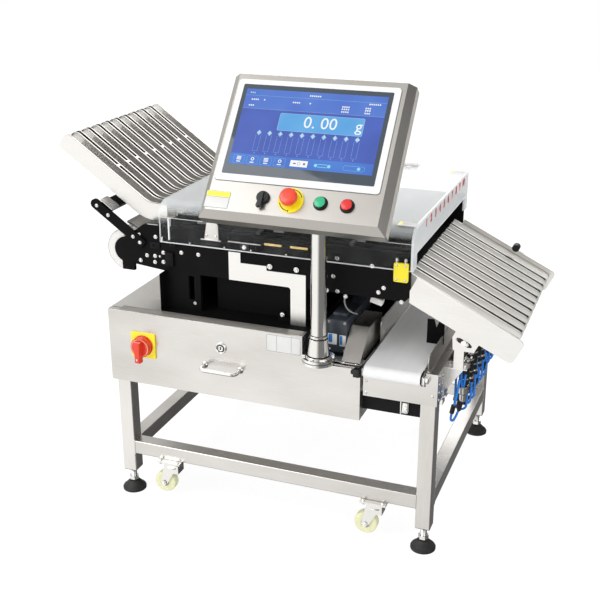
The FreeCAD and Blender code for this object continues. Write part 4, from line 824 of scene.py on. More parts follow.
@dataclass
class BaseFrame(Assembly):
    """The welded square-tube frame on its levelling feet."""

    length: float = 890.0
    depth: float = 720.0
    tube: float = 40.0
    rail_top: float = 163.0
    shelf_top: float = 470.0
    leg_bottom: float = 68.0
    bead: float = 1.5
    thread_low: float = 40.5
    thread_pitch: float = 1.75
    thread_turns: int = 15
    nut_low: float = 58.0
    plug_inset: float = 1.2

    def build(self) -> None:
        """Weld beads, leg plugs and foot details."""
        self.welds()
        self.feet()

    def welds(self) -> None:
        """A bead round each rail's end, where it meets its leg."""
        shape = Shape()
        near, far = self.tube, self.length - self.tube
        front, rear = self.tube, self.depth - self.tube
        for top, ends in ((self.rail_top, (near, far)), (self.shelf_top, (far,))):
            for x in ends:
                for y in (0.0, rear):
                    self.bead_loop(shape, [(x, y + a, top - self.tube + b) for a, b in self.square()])
        for top, sides in ((self.rail_top, (0.0, far)), (self.shelf_top, (far,))):
            for y in (front, rear):
                for x in sides:
                    self.bead_loop(shape, [(x + a, y, top - self.tube + b) for a, b in self.square()])
        self.add(shape, "weld_beads", BRIGHT, "bright_stainless")

    def square(self) -> list:
        """The corners of a tube's cross section, closed."""
        t = self.tube
        return [(0, 0), (t, 0), (t, t), (0, t), (0, 0)]

    def bead_loop(self, shape: Shape, loop: list) -> None:
        """Lay one bead along a closed square, a little wavy as a weld is."""
        points = []
        for one, two in zip(loop, loop[1:]):
            a, b = Vector(one), Vector(two)
            points += [a + (b - a) * (k / 8) for k in range(8)]
        points.append(Vector(loop[-1]))
        shape.pipe(points, self.bead, 6)

    def feet(self) -> None:
        """Threads on the studs, plugs in the tubes and ribs round the rubber discs."""
        threads = Shape()
        plugs = Shape()
        ribs = Shape()
        middle = self.tube / 2
        for x in (middle, self.length - middle):
            for y in (middle, self.depth - middle):
                profile = [(7.6, 0)]
                for k in range(self.thread_turns):
                    profile += [(8.5, (k + 0.35) * self.thread_pitch), (7.7, (k + 1) * self.thread_pitch)]
                threads.lathe((x, y, self.thread_low), UP, profile, 20)
                threads.hex_nut((x, y, self.nut_low), UP, 22.0, 7.0)
                half = middle - self.plug_inset
                plugs.block((x - half, y - half, self.leg_bottom - 2.4),
                            (x + half, y + half, self.leg_bottom + 0.6), 0.8)
                for height in (2.0, 5.0, 8.0):
                    radius = 33.2 if height < 6 else 31.5
                    ribs.ring((x, y, height), UP, radius, radius - 3.0, 1.2, 0.5, 40)
        self.add(threads, "foot_threads", BOLT, "bright_stainless")
        self.add(plugs, "leg_plugs", BLACK_MOULDED_AND_SHADE, "black_plastic")
        self.add(ribs, "foot_ribs", BLACK_RUBBER, "black_rubber")


@dataclass
class Castors(Assembly):
    """The four swivel castors: plate bolts, axle nuts, hubs and tread lines."""

    plate_top: float = 123.0
    axle_height: float = 46.0
    trail: float = 24.0
    half_width: float = 13.0
    fork_face: float = 17.5
    crown_low: float = 96.0
    bolt_x: float = 26.0
    bolt_y: float = 27.5

    def build(self) -> None:
        """All four castors."""
        bolts = Shape()
        for corner, (x, y) in CORNERS.items():
            for dx in (-self.bolt_x, self.bolt_x):
                for dy in (-self.bolt_y, self.bolt_y):
                    bolts.dome_screw((x + dx, y + dy, self.plate_top), UP, 5.5)
                    bolts.hex_nut((x + dx, y + dy, self.plate_top - 9.0), UP, 10.0, 4.0)
            self.wheel(corner, x - self.trail, y)
            self.fork(corner, x, y)
        self.add(bolts, "castor_bolts", BOLT, "bright_stainless")

    def wheel(self, corner: str, x: float, y: float) -> None:
        """Hub cover and tread lines of one wheel."""
        hub = Shape()
        lines = Shape()
        for side in (-1, 1):
            face = (x, y + side * (self.half_width - 0.2), self.axle_height)
            hub.ring(face, (0, side, 0), 12.5, 5.4, 0.9, 0.3, 32)
            lines.ring(face, (0, side, 0), 24.0, 21.5, 0.5, 0.2, 40)
        self.add(hub, "castor_hub_" + corner, GREY_PLASTIC, "nylon", "wheel_" + corner)
        self.add(lines, "castor_lines_" + corner, NYLON, "nylon", "wheel_" + corner)

    def fork(self, corner: str, x: float, y: float) -> None:
        """Axle nuts and the raceway's rim of one fork."""
        shape = Shape()
        for side in (-1, 1):
            at = (x - self.trail, y + side * self.fork_face, self.axle_height)
            shape.hex_nut(at, (0, side, 0), 13.0, 4.0)
            shape.rod(at, (at[0], at[1] + side * 5.5, at[2]), 3.0, 0.5, 16)
        shape.ring((x, y, self.crown_low), UP, 23.0, 15.0, 3.0, 1.0, 36)
        self.add(shape, "castor_nuts_" + corner, BOLT, "bright_stainless", "fork_" + corner)


@dataclass
class Cabinet(Assembly):
    """The cabinet with its drawer: fittings, seams, a blank label plate and the rear panel."""

    front: float = -10.0
    left: float = -10.0
    right: float = 698.0
    low: float = 352.5
    top: float = 558.0
    step: float = 544.5
    step_top: float = 496.6
    back: float = 730.0
    isolator: tuple = (94.0, 468.0)
    lock: tuple = (320.5, 493.0)
    handle: tuple = (323.0, 438.0)
    handle_span: float = 101.0
    label: tuple = (447.0, 542.0, 505.0, 554.0)

    def build(self) -> None:
        """Front fittings first, then seams and the rear."""
        self.isolator_switch()
        self.drawer_fittings()
        self.label_plate()
        self.rear_panel()
        self.left_side()

    def isolator_switch(self) -> None:
        """The switch's position marks, the plate's rim, and the handle's rings with a pale ring of painted highlight,
        grip and arrow.
        """
        x, z = self.isolator
        face = self.front - 4.0
        marks = Shape()
        upright = Matrix.Rotation(math.radians(90), 4, "X")
        for text, dx, dz, size in (("0", 22, 28, 8.0), ("1", -28, 2, 8.0)):
            marks.words(text, size, Matrix.Translation((x + dx, face - 0.1, z + dz)) @ upright)
        self.add(marks, "isolator_marks", BLACK_INK_AND_SHADE, "black_plastic", "drawer")
        rim = Shape()
        outline = rounded_box(x - 35.4, x + 35.4, z - 35.4, z + 35.4, 5.0)
        rim.prism(outline, "Y", self.front - 4.4, self.front - 0.1, 0.8)
        self.add(rim, "isolator_rim", YELLOW, "yellow_plastic", "drawer")
        disc = face - 20.3
        ring = Shape()
        ring.ring((x, face - 0.3, z), FRONT, 29.0, 25.0, 5.0, 1.2, 48)
        ring.ring((x, disc + 6.0, z), FRONT, 27.6, 24.0, 6.0, 1.6, 48)
        self.add(ring, "isolator_ring", RED, "red_plastic", "isolator_knob")
        # painted highlight along the knob's rim
        highlight_ring = Shape().ring((x, disc - 0.1, z), FRONT, 25.6, 22.4, 0.6, 0.2, 48)
        self.add(highlight_ring, "isolator_rim_highlight", ORANGE_HIGHLIGHT, "red_plastic", "isolator_knob")
        grip = Shape()
        grip.prism([(x - 9.5, z + 21), (x - 6, z - 35), (x + 6, z - 35), (x + 9.5, z + 21)],
                   "Y", disc - 18.6, disc - 0.2, 2.2)
        self.add(grip, "isolator_grip", ORANGE_RED, "red_plastic", "isolator_knob")
        arrow = Shape().prism([(x, z - 32), (x + 3, z - 25), (x - 3, z - 25)], "Y", disc - 18.8, disc - 18.5)
        self.add(arrow, "isolator_arrow", LABEL, "red_plastic", "isolator_knob")

    def drawer_fittings(self) -> None:
        """The lock's rings, with its keyway and the gap round its cylinder in painted shade, the handle's rosettes with
        rings of painted shade at their tips, and the drawer's folded edge.
        """
        x, z = self.lock
        lock = Shape()
        lock.ring((x, self.front, z), FRONT, 15.5, 11.0, 4.2, 1.6, 40)
        lock.ring((x, self.front - 3.0, z), FRONT, 7.5, 5.6, 1.2, 0.4, 32)
        self.add(lock, "lock_ring", BOLT, "bright_stainless", "drawer")
        # painted shade: the keyway and the gap round the cylinder drawn flat black
        slot = Shape()
        slot.ring((x, self.front - 2.9, z), FRONT, 10.8, 7.6, 0.5, 0.1, 40)
        slot.block((x - 1.4, self.front - 3.7, z - 4.6), (x + 1.4, self.front - 2.8, z + 4.6), 0.2)
        self.add(slot, "lock_slot_shade", BLACK_INK_AND_SHADE, "black_plastic", "drawer")
        handle = Shape()
        shade = Shape()
        for side in (-1, 1):
            at = (self.handle[0] + side * self.handle_span / 2, self.front, self.handle[1])
            handle.lathe(at, FRONT, [(0, 0), (9, 0), (9, 1.4), (6.5, 3.0), (5.2, 6.0), (0, 6.0)], 28)
            # painted shade: a black ring where the handle bar meets each rosette
            shade.ring((at[0], at[1] - 6.0, at[2]), FRONT, 5.5, 4.8, 1.2, 0.3, 28)
        self.add(handle, "handle_rosettes", BRIGHT, "bright_stainless", "drawer")
        self.add(shade, "handle_shade_rings", BLACK_MOULDED_AND_SHADE, "black_plastic", "drawer")
        fold = Shape()
        y = self.front + 0.6
        for x0, x1, height in ((self.left + 2, self.step - 1.5, self.top - 0.6),
                               (self.step + 1.5, self.right - 2, self.step_top)):
            fold.pipe([(x0, y, height), (x1, y, height)], 0.9, 8)
        self.add(fold, "drawer_fold", BRIGHT, "bright_stainless", "drawer")

    def label_plate(self) -> None:
        """A blank label plate with a fine border and two dividers."""
        x0, x1, z0, z1 = self.label
        plate = Shape().prism(rounded_box(x0, x1, z0, z1, 4.0), "Y", self.front - 0.7, self.front + 0.1, 0.2)
        self.add(plate, "label_plate", LABEL, "aluminium", "drawer")
        lines = Shape()
        y = self.front - 0.75
        loop = [(x, y, z) for x, z in rounded_box(x0 + 2, x1 - 2, z0 + 2, z1 - 2, 3.0)]
        lines.pipe(loop + loop[:1], 0.35, 6)
        for x in (x0 + 29, x1 - 26):
            lines.pipe([(x, y, z0 + 2), (x, y, z1 - 2)], 0.3, 6)
        self.add(lines, "label_lines", LABEL_LINE, "black_plastic", "drawer")

    def rear_panel(self) -> None:
        """A screwed rear cover with louvres and a cable gland row."""
        panel = Shape()
        y = self.back - 0.6
        panel.prism(rounded_box(40.0, 600.0, 375.0, 535.0, 6.0), "Y", y, y + 1.8, 0.5)
        self.add(panel, "rear_cover", SHEET, "cabinet_paint")
        louvres = Shape()
        for x in (90.0, 430.0):
            for k in range(6):
                z = 410.0 + 16.0 * k
                louvres.prism([(y + 1.6, z), (y + 5.6, z + 1.0), (y + 1.6, z + 9.0)], "X", x, x + 120.0, 0.4)
        self.add(louvres, "rear_louvres", SHEET, "cabinet_paint")
        screws = Shape()
        for x in (52.0, 230.0, 410.0, 588.0):
            for z in (386.0, 524.0):
                screws.dome_screw((x, y + 1.8, z), REAR, 4.0)
        self.add(screws, "rear_screws", BOLT, "bright_stainless")
        glands = Shape()
        for k in range(4):
            at = (290.0 + 34.0 * k, y + 1.8, 404.0)
            glands.hex_nut(at, REAR, 20.0, 5.0)
            glands.lathe((at[0], at[1] + 5.0, at[2]), REAR,
                         [(8.5, 0), (8.5, 4.0), (6.0, 8.5), (3.5, 8.5), (3.2, 2), (0, 2)], 24)
        self.add(glands, "rear_glands", BLACK_MOULDED_AND_SHADE, "black_plastic")

    def left_side(self) -> None:
        """The folded seam low on the left side."""
        x, z = self.left + 0.4, self.low + 14
        self.add(Shape().pipe([(x, 8.0, z), (x, self.back - 12, z)], 0.8, 8), "side_seam", SHEET_Y, "cabinet_paint")


@dataclass
class OperatorPanel(Assembly):
    """The tilted panel: glass, picture, controls, blank label, post collar and rear details."""

    glass: tuple = (-183.0, 183.0, -122.0, 109.0)
    face: float = 3.0
    line: float = -173.0
    key: float = -67.0
    green: float = 70.0
    red: float = 132.0
    label: tuple = (-207.0, -148.0, -208.0, -167.0)
    corners: tuple = (-203.0, 209.0, -213.0, 137.0)
    back: float = -45.0
    post_at: tuple = (588.0, -10.0)
    flange_top: float = 513.0

    def build(self) -> None:
        """Glass and picture, then the row of controls, labels and folds, then rear and post."""
        glass = Shape(ON_PANEL)
        x0, x1, y0, y1 = self.glass
        glass.prism(rounded_box(x0, x1, y0, y1, 3.0), "Z", self.face - 0.2, self.face + 0.5, 0.2)
        self.add(glass, "display_glass", DARK_GLASS, "screen_glass")
        Picture().build()
        self.controls()
        self.label_plate()
        self.folds()
        self.rear()
        self.post()

    def controls(self) -> None:
        """Lens domes and rims of the buttons, the stop disc's arrows and the key switch's cap."""
        dome = [(0, 0), (12.8, 0), (12.8, 1.2), (11.6, 2.4), (7.0, 3.2), (0, 3.5)]
        for name, u, finish, slot in (("green", self.green, GREEN, "green_plastic"),
                                      ("red", self.red, RED, "red_plastic")):
            lens = Shape(ON_PANEL).lathe((u, self.line, 9.2), UP, dome, 36)
            self.add(lens, name + "_lens", finish, slot, name + "_push")
        rims = Shape(ON_PANEL)
        for u, outer in ((self.key, 15.6), (self.green, 16.8), (self.red, 16.8)):
            rims.ring((u, self.line, 0.0), UP, outer, 14.5, 2.0, 0.8, 40)
        self.add(rims, "button_rims", BLACK_MOULDED_AND_SHADE, "black_plastic")
        cap = Shape(ON_PANEL)
        cap.lathe((self.key, self.line, 6.1), UP, [(0, 0), (14.6, 0), (14.6, 1.6), (13.4, 2.8), (0, 3.2)], 36)
        turn = Matrix.Translation((self.key - 3.0, self.line - 15.0, 0.0)) @ Matrix.Rotation(math.radians(-10), 4, "Z")
        cap.prism(rounded_box(-4.6, 4.6, -13.0, 15.0, 4.0), "Z", 7.0, 14.0, 1.6, turn)
        self.add(cap, "key_cap", BLACK_MOULDED_AND_SHADE, "black_plastic", "key")
        head = Shape(ON_PANEL)
        head.lathe((0, self.line, 28.6), UP, [(0, 0), (18.0, 0), (17.2, 0.5), (10.0, 1.0), (0, 1.2)], 40)
        head.ring((0, self.line, 17.6), UP, 20.4, 17.0, 2.2, 0.7, 44)
        self.add(head, "stop_crown", ORANGE_RED, "red_plastic", "estop")
        arrows = Shape(ON_PANEL)
        for start in (20, 200):
            angles = [math.radians(start + a) for a in range(0, 64, 4)]
            arc = [(26.0 * math.cos(a), self.line + 26.0 * math.sin(a), 3.15) for a in angles]
            arrows.pipe(arc, 0.9, 6)
            tip = Matrix.Translation(arc[-1]) @ Matrix.Rotation(math.radians(start + 150), 4, "Z")
            arrows.prism([(0, 0), (-4.5, 2.8), (-4.5, -2.8)], "Z", -0.1, 0.2, 0.0,
                         tip @ Matrix.Rotation(math.radians(180), 4, "Y"))
        self.add(arrows, "stop_arrows", BLACK_INK_AND_SHADE, "black_plastic")

    def label_plate(self) -> None:
        """The blank label low on the left, with a yellow band, and fine lines round it and the display."""
        x0, x1, y0, y1 = self.label
        plate = Shape(ON_PANEL).prism(rounded_box(x0, x1, y0, y1, 2.5), "Z", 0.0, 0.5, 0.15)
        self.add(plate, "panel_label", LABEL, "aluminium")
        band = Shape(ON_PANEL).prism(rounded_box(x0 + 1, x1 - 1, y1 - 13, y1 - 1, 1.5), "Z", 0.4, 0.62)
        self.add(band, "panel_label_band", YELLOW, "yellow_plastic")
        border = Shape(ON_PANEL)
        loop = [(x, y, 0.5) for x, y in rounded_box(x0, x1, y0, y1, 2.5)]
        border.pipe(loop + loop[:1], 0.3, 6)
        border.pipe([(x0 + 1, y1 - 14, 0.5), (x1 - 1, y1 - 14, 0.5)], 0.3, 6)
        outline = [(x, y, 0.2) for x, y in rounded_box(-198.6, 198.6, -139.6, 122.6, 8.6)]
        border.pipe(outline + outline[:1], 0.7, 6)
        self.add(border, "panel_outlines", LABEL_LINE, "black_plastic")

    def folds(self) -> None:
        """The fold lines round the housing's face, and a band of painted shading on its right side."""
        folds = Shape(ON_PANEL)
        x0, x1, y0, y1 = self.corners
        folds.pipe([(x0, y0, -0.2), (x1, y0, -0.2), (x1, y1, -0.2), (x0, y1, -0.2), (x0, y0, -0.2)], 0.6, 6)
        self.add(folds, "panel_folds", BOLT, "bright_stainless")
        band = Shape(ON_PANEL).block((225.9, -226.0, -44.0), (226.3, 135.0, -18.0), 0.1)
        self.add(band, "panel_side_shading", SIDE_SHADING, "stainless")

    def rear(self) -> None:
        """Back cover with screws and louvres."""
        back = self.back
        cover = Shape(ON_PANEL)
        cover.prism(rounded_box(-195.0, 195.0, -60.0, 120.0, 8.0), "Z", back - 1.6, back + 0.2, 0.5)
        for k in range(7):
            y = 20.0 + 12.0 * k
            for x in (-150.0, 60.0):
                cover.prism([(y, back - 1.4), (y + 7.0, back - 1.4), (y + 1.0, back - 4.4)], "X", x, x + 90.0, 0.3)
        self.add(cover, "panel_back", SHEET, "stainless")
        screws = Shape(ON_PANEL)
        for x in (-187.0, 0.0, 187.0):
            for y in (-52.0, 112.0):
                screws.dome_screw((x, y, back - 1.6), DOWN, 3.6)
        self.add(screws, "panel_back_screws", BOLT, "bright_stainless")

    def post(self) -> None:
        """Collars on the post and its flange, grooves in them and the flange's bolts."""
        x, y = self.post_at
        rings = Shape()
        for z, outer, inner, height, edge, sides in (
                (559.5, 24.6, 19.8, 3.0, 1.2, 48), (565.5, 22.2, 19.8, 4.5, 1.4, 48),
                (499.0, 41.5, 39.0, 1.8, 0.6, 56), (509.0, 41.5, 39.0, 1.8, 0.6, 56),
                (self.flange_top, 32.0, 27.5, 4.0, 1.4, 48)):
            rings.ring((x, y, z), UP, outer, inner, height, edge, sides)
        self.add(rings, "post_rings", BRIGHT, "bright_stainless")
        grooves = Shape()
        for z, radius in ((504.0, 41.3), (517.6, 28.9), (563.0, 20.6), (571.0, 20.5), (1058.0, 20.5)):
            grooves.ring((x, y, z), UP, radius, radius - 1.4, 1.8, 0.3, 48)
        self.add(grooves, "post_grooves", BLACK_RUBBER, "black_rubber")
        bolts = Shape()
        for k in range(6):
            a = math.radians(60 * k + 20)
            at = (x + 36.3 * math.cos(a), y + 36.3 * math.sin(a), self.flange_top)
            bolts.hex_nut(at, UP, 9.0, 4.5)
        self.add(bolts, "post_bolts", BOLT, "bright_stainless")


@dataclass
class Picture(Assembly):
    """The lit picture on the glass: header, weight value, ten lane columns and the toolbar."""

    half_width: float = 172.5
    half_height: float = 97.0
    level: float = 3.55
    layer: float = 0.06
    header: float = 0.262
    value_box: tuple = (0.285, 0.30, 0.875, 0.525)
    first_lane: float = 0.165
    lane_step: float = 0.0765
    lane_number: float = 0.573
    tile_step: float = 0.097

    def at(self, across: float, down: float) -> tuple[float, float]:
        """Place a point given by its share of the picture's width and height."""
        return (-self.half_width + 2 * self.half_width * across, self.half_height - 2 * self.half_height * down)

    def patch(self, shape: Shape, box: tuple, step: int, radius: float = 0.5) -> None:
        """Lay a thin rounded field, given by shares of the picture, step layers above the glass."""
        x0, y1 = self.at(box[0], box[1])
        x1, y0 = self.at(box[2], box[3])
        low = self.level + self.layer * step
        shape.prism(rounded_box(x0, x1, y0, y1, radius, 3), "Z", low, low + 0.05)

    def outline(self, shape: Shape, box: tuple, step: int, width: float = 0.45, radius: float = 2.0) -> None:
        """Draw a rounded frame, given by shares of the picture."""
        x0, y1 = self.at(box[0], box[1])
        x1, y0 = self.at(box[2], box[3])
        level = self.level + self.layer * step
        loop = [(x, y, level) for x, y in rounded_box(x0, x1, y0, y1, radius, 4)]
        shape.pipe(loop + loop[:1], width / 2, 6)

    def build(self) -> None:
        """Fields from the lowest layer up, then lines and figures."""
        for name, finish, fields in (
                ("base", PICTURE, (((0, 0, 1, 1), 0, 0.5),)),
                ("header", HEADER, (((0.0, 0.0, 1.0, self.header), 1, 0.5),)),
                ("toolbar", TOOLBAR, (((0.0, 0.86, 1.0, 1.0), 1, 0.5), ((0.02, 0.012, 0.10, 0.075), 2, 0.5))),
                ("value_box", VALUE_BOX, ((self.value_box, 1, 3.0),))):
            shape = Shape(ON_PANEL)
            for box, step, radius in fields:
                self.patch(shape, box, step, radius)
            self.add(shape, "picture_" + name, finish, "screen_glass")
        self.lines()
        self.figures()
        self.toolbar()

    def lines(self) -> None:
        """Header lines, the value box's rim, the ten columns and the tiles' rims."""
        lines = Shape(ON_PANEL)
        for down in (0.085, self.header):
            x0, y = self.at(0.0, down)
            x1, _ = self.at(1.0, down)
            lines.pipe([(x0, y, self.level + 0.12), (x1, y, self.level + 0.12)], 0.22, 6)
        self.outline(lines, self.value_box, 2, 1.0, 3.0)
        for k in range(LANES):
            across = self.first_lane + self.lane_step * k
            x0, y0 = self.at(across - 0.018, 0.815)
            x1, y1 = self.at(across + 0.018, 0.6)
            level = self.level + 0.1
            lines.pipe(rounded([(x0, y1, level), (x0, y0, level), (x1, y0, level), (x1, y1, level)], 2.5), 0.2, 6)
            x, y = self.at(across, self.lane_number)
            lines.prism([(x - 6, y), (x, y + 7), (x + 6, y), (x, y - 7)], "Z", level, level + 0.05)
            x, y = self.at(across, 0.838)
            lines.lathe((x, y, self.level), UP, [(0, 0), (1.0, 0), (1.0, 0.15), (0, 0.15)], 10)
        for k in range(4):
            self.outline(lines, (0.03 + self.tile_step * k, 0.885, 0.108 + self.tile_step * k, 0.985), 2, 0.4, 1.5)
        self.outline(lines, (0.80, 0.905, 0.945, 0.965), 2, 0.5, 5.0)
        self.add(lines, "picture_lines", PALE_LINE, "screen_glass")

    def figures(self) -> None:
        """The weight value, lane numbers and rows of plain marks where small text stands."""
        figures = Shape(ON_PANEL)
        level = self.level + 0.14
        for text, across, size in (("0. 00", 0.578, 41.0), ("g", 0.845, 38.0)):
            x, y = self.at(across, 0.405)
            figures.words(text, size, Matrix.Translation((x, y, level)), 0.05)
        for k in range(LANES):
            x, y = self.at(self.first_lane + self.lane_step * k, self.lane_number)
            figures.words(str(k + 1), 8.0, Matrix.Translation((x, y, level + 0.1)), 0.05)
        rows = ((0.03, 0.04, 3), (0.05, 0.13, 4), (0.14, 0.13, 1), (0.35, 0.14, 4), (0.47, 0.14, 1), (0.46, 0.04, 6),
                (0.70, 0.155, 4), (0.70, 0.185, 4), (0.70, 0.22, 4), (0.86, 0.155, 3), (0.86, 0.185, 3),
                (0.86, 0.22, 3), (0.88, 0.10, 6), (0.04, 0.21, 3))
        for across, down, count in rows:
            for k in range(count):
                self.patch(figures, (across + 0.014 * k, down, across + 0.014 * k + 0.009, down + 0.018), 2, 0.3)
        self.add(figures, "picture_figures", WHITE_LIGHT, "screen_glass")

    def toolbar(self) -> None:
        """Icons in the tiles, the white field, the slider's ends and the pill's knob."""
        icons = Shape(ON_PANEL)
        for k in range(4):
            left = 0.052 + self.tile_step * k
            if k % 2 == 0:
                for row in range(3):
                    self.patch(icons, (left, 0.897 + 0.017 * row, left + 0.032, 0.908 + 0.017 * row), 2, 0.3)
            else:
                x, y = self.at(left + 0.017, 0.92)
                icons.ring((x, y, self.level + 0.1), UP, 4.2, 2.4, 0.1, 0.02, 16)
            self.patch(icons, (left + 0.002, 0.958, left + 0.03, 0.97), 2, 0.3)
        self.patch(icons, (0.435, 0.892, 0.555, 0.972), 2, 1.0)
        self.add(icons, "picture_icons", WHITE_LIGHT, "screen_glass")
        knobs = Shape(ON_PANEL)
        for across in (0.612, 0.703, 0.905):
            x, y = self.at(across, 0.935)
            knobs.lathe((x, y, self.level + 0.12), UP, [(0, 0), (4.0, 0), (4.0, 0.1), (0, 0.12)], 20)
        self.patch(knobs, (0.625, 0.915, 0.69, 0.922), 2, 0.3)
        self.patch(knobs, (0.625, 0.948, 0.69, 0.955), 2, 0.3)
        self.add(knobs, "picture_knobs", CYAN_LIGHT, "screen_glass")
        marks = Shape(ON_PANEL)
        self.patch(marks, (0.455, 0.925, 0.475, 0.94), 3, 0.3)
        x, y = self.at(0.495, 0.932)
        marks.ring((x, y, self.level + 0.18), UP, 4.0, 3.2, 0.08, 0.02, 16)
        self.patch(marks, (0.525, 0.918, 0.54, 0.945), 3, 0.3)
        self.add(marks, "picture_marks", LABEL_LINE, "screen_glass")


@dataclass
class Transport(Assembly):
    """The black side plates: screws, blocks, sheets of painted shade, guard, lever and fittings under the cover."""

    face: float = 58.0
    depth: float = 720.0
    floor: float = 558.0
    guard_at: tuple = (18.0, 706.0)
    lever_y: float = 659.0
    seams: tuple = (317.0, 559.0)
    screws: tuple = (
        (59, 752), (108, 751), (60, 728), (103, 728), (80, 697), (60, 681), (104, 698), (129, 710),
        (103, 681), (128, 684), (182, 716), (231, 716), (732, 689), (719, 676), (611, 751), (701, 742),
        (613, 665), (586, 664), (634, 654), (778, 658), (602, 703),
    )

    def build(self) -> None:
        """Screws on both plates, then the front plate's fittings."""
        self.plate_screws()
        self.front_blocks()
        self.painted_shade_sheets()
        self.guard()
        self.lever()
        self.bridge()
        self.ledge()
        self.interlock()
        self.under_plate()
        self.arms()

    def plate_screws(self) -> None:
        """Socket screws in the side plates, front and rear."""
        shape = Shape()
        rear = self.depth - self.face
        for x, z in self.screws:
            shape.cap_screw((x, self.face, z), FRONT, 4.0)
            shape.cap_screw((x, rear, z), REAR, 4.0)
        shape.cap_screw((118, self.face, 698), FRONT, 2.2)
        self.add(shape, "plate_screws", BOLT, "bright_stainless")

    def front_blocks(self) -> None:
        """Bearing blocks on the front plate's left part, and thin plates on the infeed carrier's ends."""
        y = self.face
        blocks = Shape()
        blocks.block((136, y - 7, 676), (160, y, 714), 1.0)
        blocks.block((92, y - 4, 719), (121, y, 737), 0.8)
        blocks.block((63, y - 3, 721), (74, y, 734), 0.8)
        blocks.prism(rounded_box(150, 168, 730, 745, 3.0), "Y", y - 5, y, 0.8)
        blocks.block((86, y, 784.6), (125.6, y + 32, 786.4), 0.5)
        blocks.block((86, 630, 784.6), (125.6, 662, 786.4), 0.5)
        self.add(blocks, "bearing_blocks", BLACK_BAR, "black_steel")

    def painted_shade_sheets(self) -> None:
        """Black walls and floors of painted shade between the plates, a strip of painted shade along the cabinet top's
        front, and painted shade on the outlet's floor.
        """
        # painted shade: black walls and floors where the inside between the plates lies in shade
        shade_blocks = Shape()
        for low, high, edge in (((136, 640, 558.4), (600, 643, 662), 0.5), ((546, 640, 498.0), (700, 643, 662), 0.5),
                                ((132, 24, 558.2), (135, 642, 662), 0.5), ((134, 26, 557.9), (545, 664, 558.5), 0.1),
                                ((547, 42, 496.9), (696, 664, 497.7), 0.1)):
            shade_blocks.block(low, high, edge)
        self.add(shade_blocks, "inner_painted_shade", SHADE_BLACK, "black_steel")
        # painted shade on the cabinet top's front
        strip = Shape().block((20, -6, self.floor - 0.1), (544, 25, self.floor + 0.3), 0.1)
        self.add(strip, "painted_top_shade", TOP_SHADE, "cabinet_paint")
        # painted shade over the outlet's floor
        outlet = Shape().prism([(600, 690), (768, 690), (768, 686), (600, 686)], "Y", 69, 651)
        self.add(outlet, "outlet_painted_shade", SHADE_BLACK, "black_steel")

    def guard_arc(self, radius: float, degrees: range) -> list:
        """Points in X and Z on a circle round the end guard's axis."""
        x, z = self.guard_at
        return [(x + radius * math.cos(math.radians(a)), z + radius * math.sin(math.radians(a))) for a in degrees]

    def guard(self) -> None:
        """The end guard's front cheek, drawn opaque pale as painted light where the guard's inside lies in shade, and
        the lines along both of its edges.
        """
        # painted light: an opaque pale crescent over the guard's shaded inside
        cheek = Shape().prism(self.guard_arc(54.6, range(100, 276, 5)) + [self.guard_at], "Y", 62, 64, 0.2)
        self.add(cheek, "guard_cheek", PALE_SHEET, "pale_guard")
        outline = Shape()
        for y in (61.0, 659.0):
            outline.pipe([(x, y, z) for x, z in self.guard_arc(56.2, range(96, 280, 6))], 0.7, 6)
        self.add(outline, "guard_edges", GREY_PLASTIC, "pale_guard")

    def lever(self) -> None:
        """The clamp lever and the pale cable fitting, which stand by the rear plate."""
        y = self.lever_y
        lever = Shape()
        lever.rod((139, y - 7, 699), (139, y - 15, 699), 4.5, 0.8)
        lever.rod((139, y - 13, 699), (164, y - 13, 697), 2.2, 0.6, 16)
        lever.lathe((164, y - 13, 697), RIGHT, [(0, -3), (3.4, -2), (4.4, 1), (3.4, 4), (0, 5)], 18)
        lever.rod((156, y, 748), (156, y - 9, 748), 3.6, 0.6, 18)
        lever.rod((156, y - 7, 748), (164, y - 11, 753), 1.8, 0.4, 14)
        self.add(lever, "clamp_lever", BOLT, "bright_stainless")
        profile = [(0, 0), (5.0, 0), (5.6, 3), (5.0, 12), (3.4, 20), (0, 21)]
        gland = Shape().lathe((183, y - 6, 716), (-0.35, -0.1, 1.0), profile, 20)
        self.add(gland, "pale_fitting", PALE_SHEET, "pale_guard")

    def bridge(self) -> None:
        """Screws in the bright bridge plates, the foot brackets inside them and the plates' seams."""
        shape = Shape()
        for y, way in ((54.0, -1), (666.0, 1)):
            for x in (433, 505):
                shape.cap_screw((x, y, 709), (0, way, 0), 5.2)
            for x in (217, 464):
                shape.cap_screw((x, y + way * -6, 580), (0, way, 0), 4.6)
        self.add(shape, "bridge_screws", BOLT, "bright_stainless")
        feet = Shape()
        for y0, y1 in ((60.0, 72.0), (648.0, 660.0)):
            feet.prism([(452, 558), (486, 558), (486, 573), (470, 573), (470, 590), (458, 590), (458, 573), (452, 573)],
                       "Y", y0, y1, 0.6)
            feet.block((206, y0, self.floor + 0.2), (236, y1, self.floor + 3.5), 0.6)
        self.add(feet, "bridge_feet", BLACK_PLATE, "black_steel")
        seam = Shape()
        for y in (self.face - 0.3, self.depth - self.face + 0.3):
            for x in self.seams:
                seam.block((x - 0.8, y - 0.3, 661), (x + 0.8, y + 0.3, 782), 0.1)
        self.add(seam, "plate_seams", BLACK_RUBBER, "black_steel")

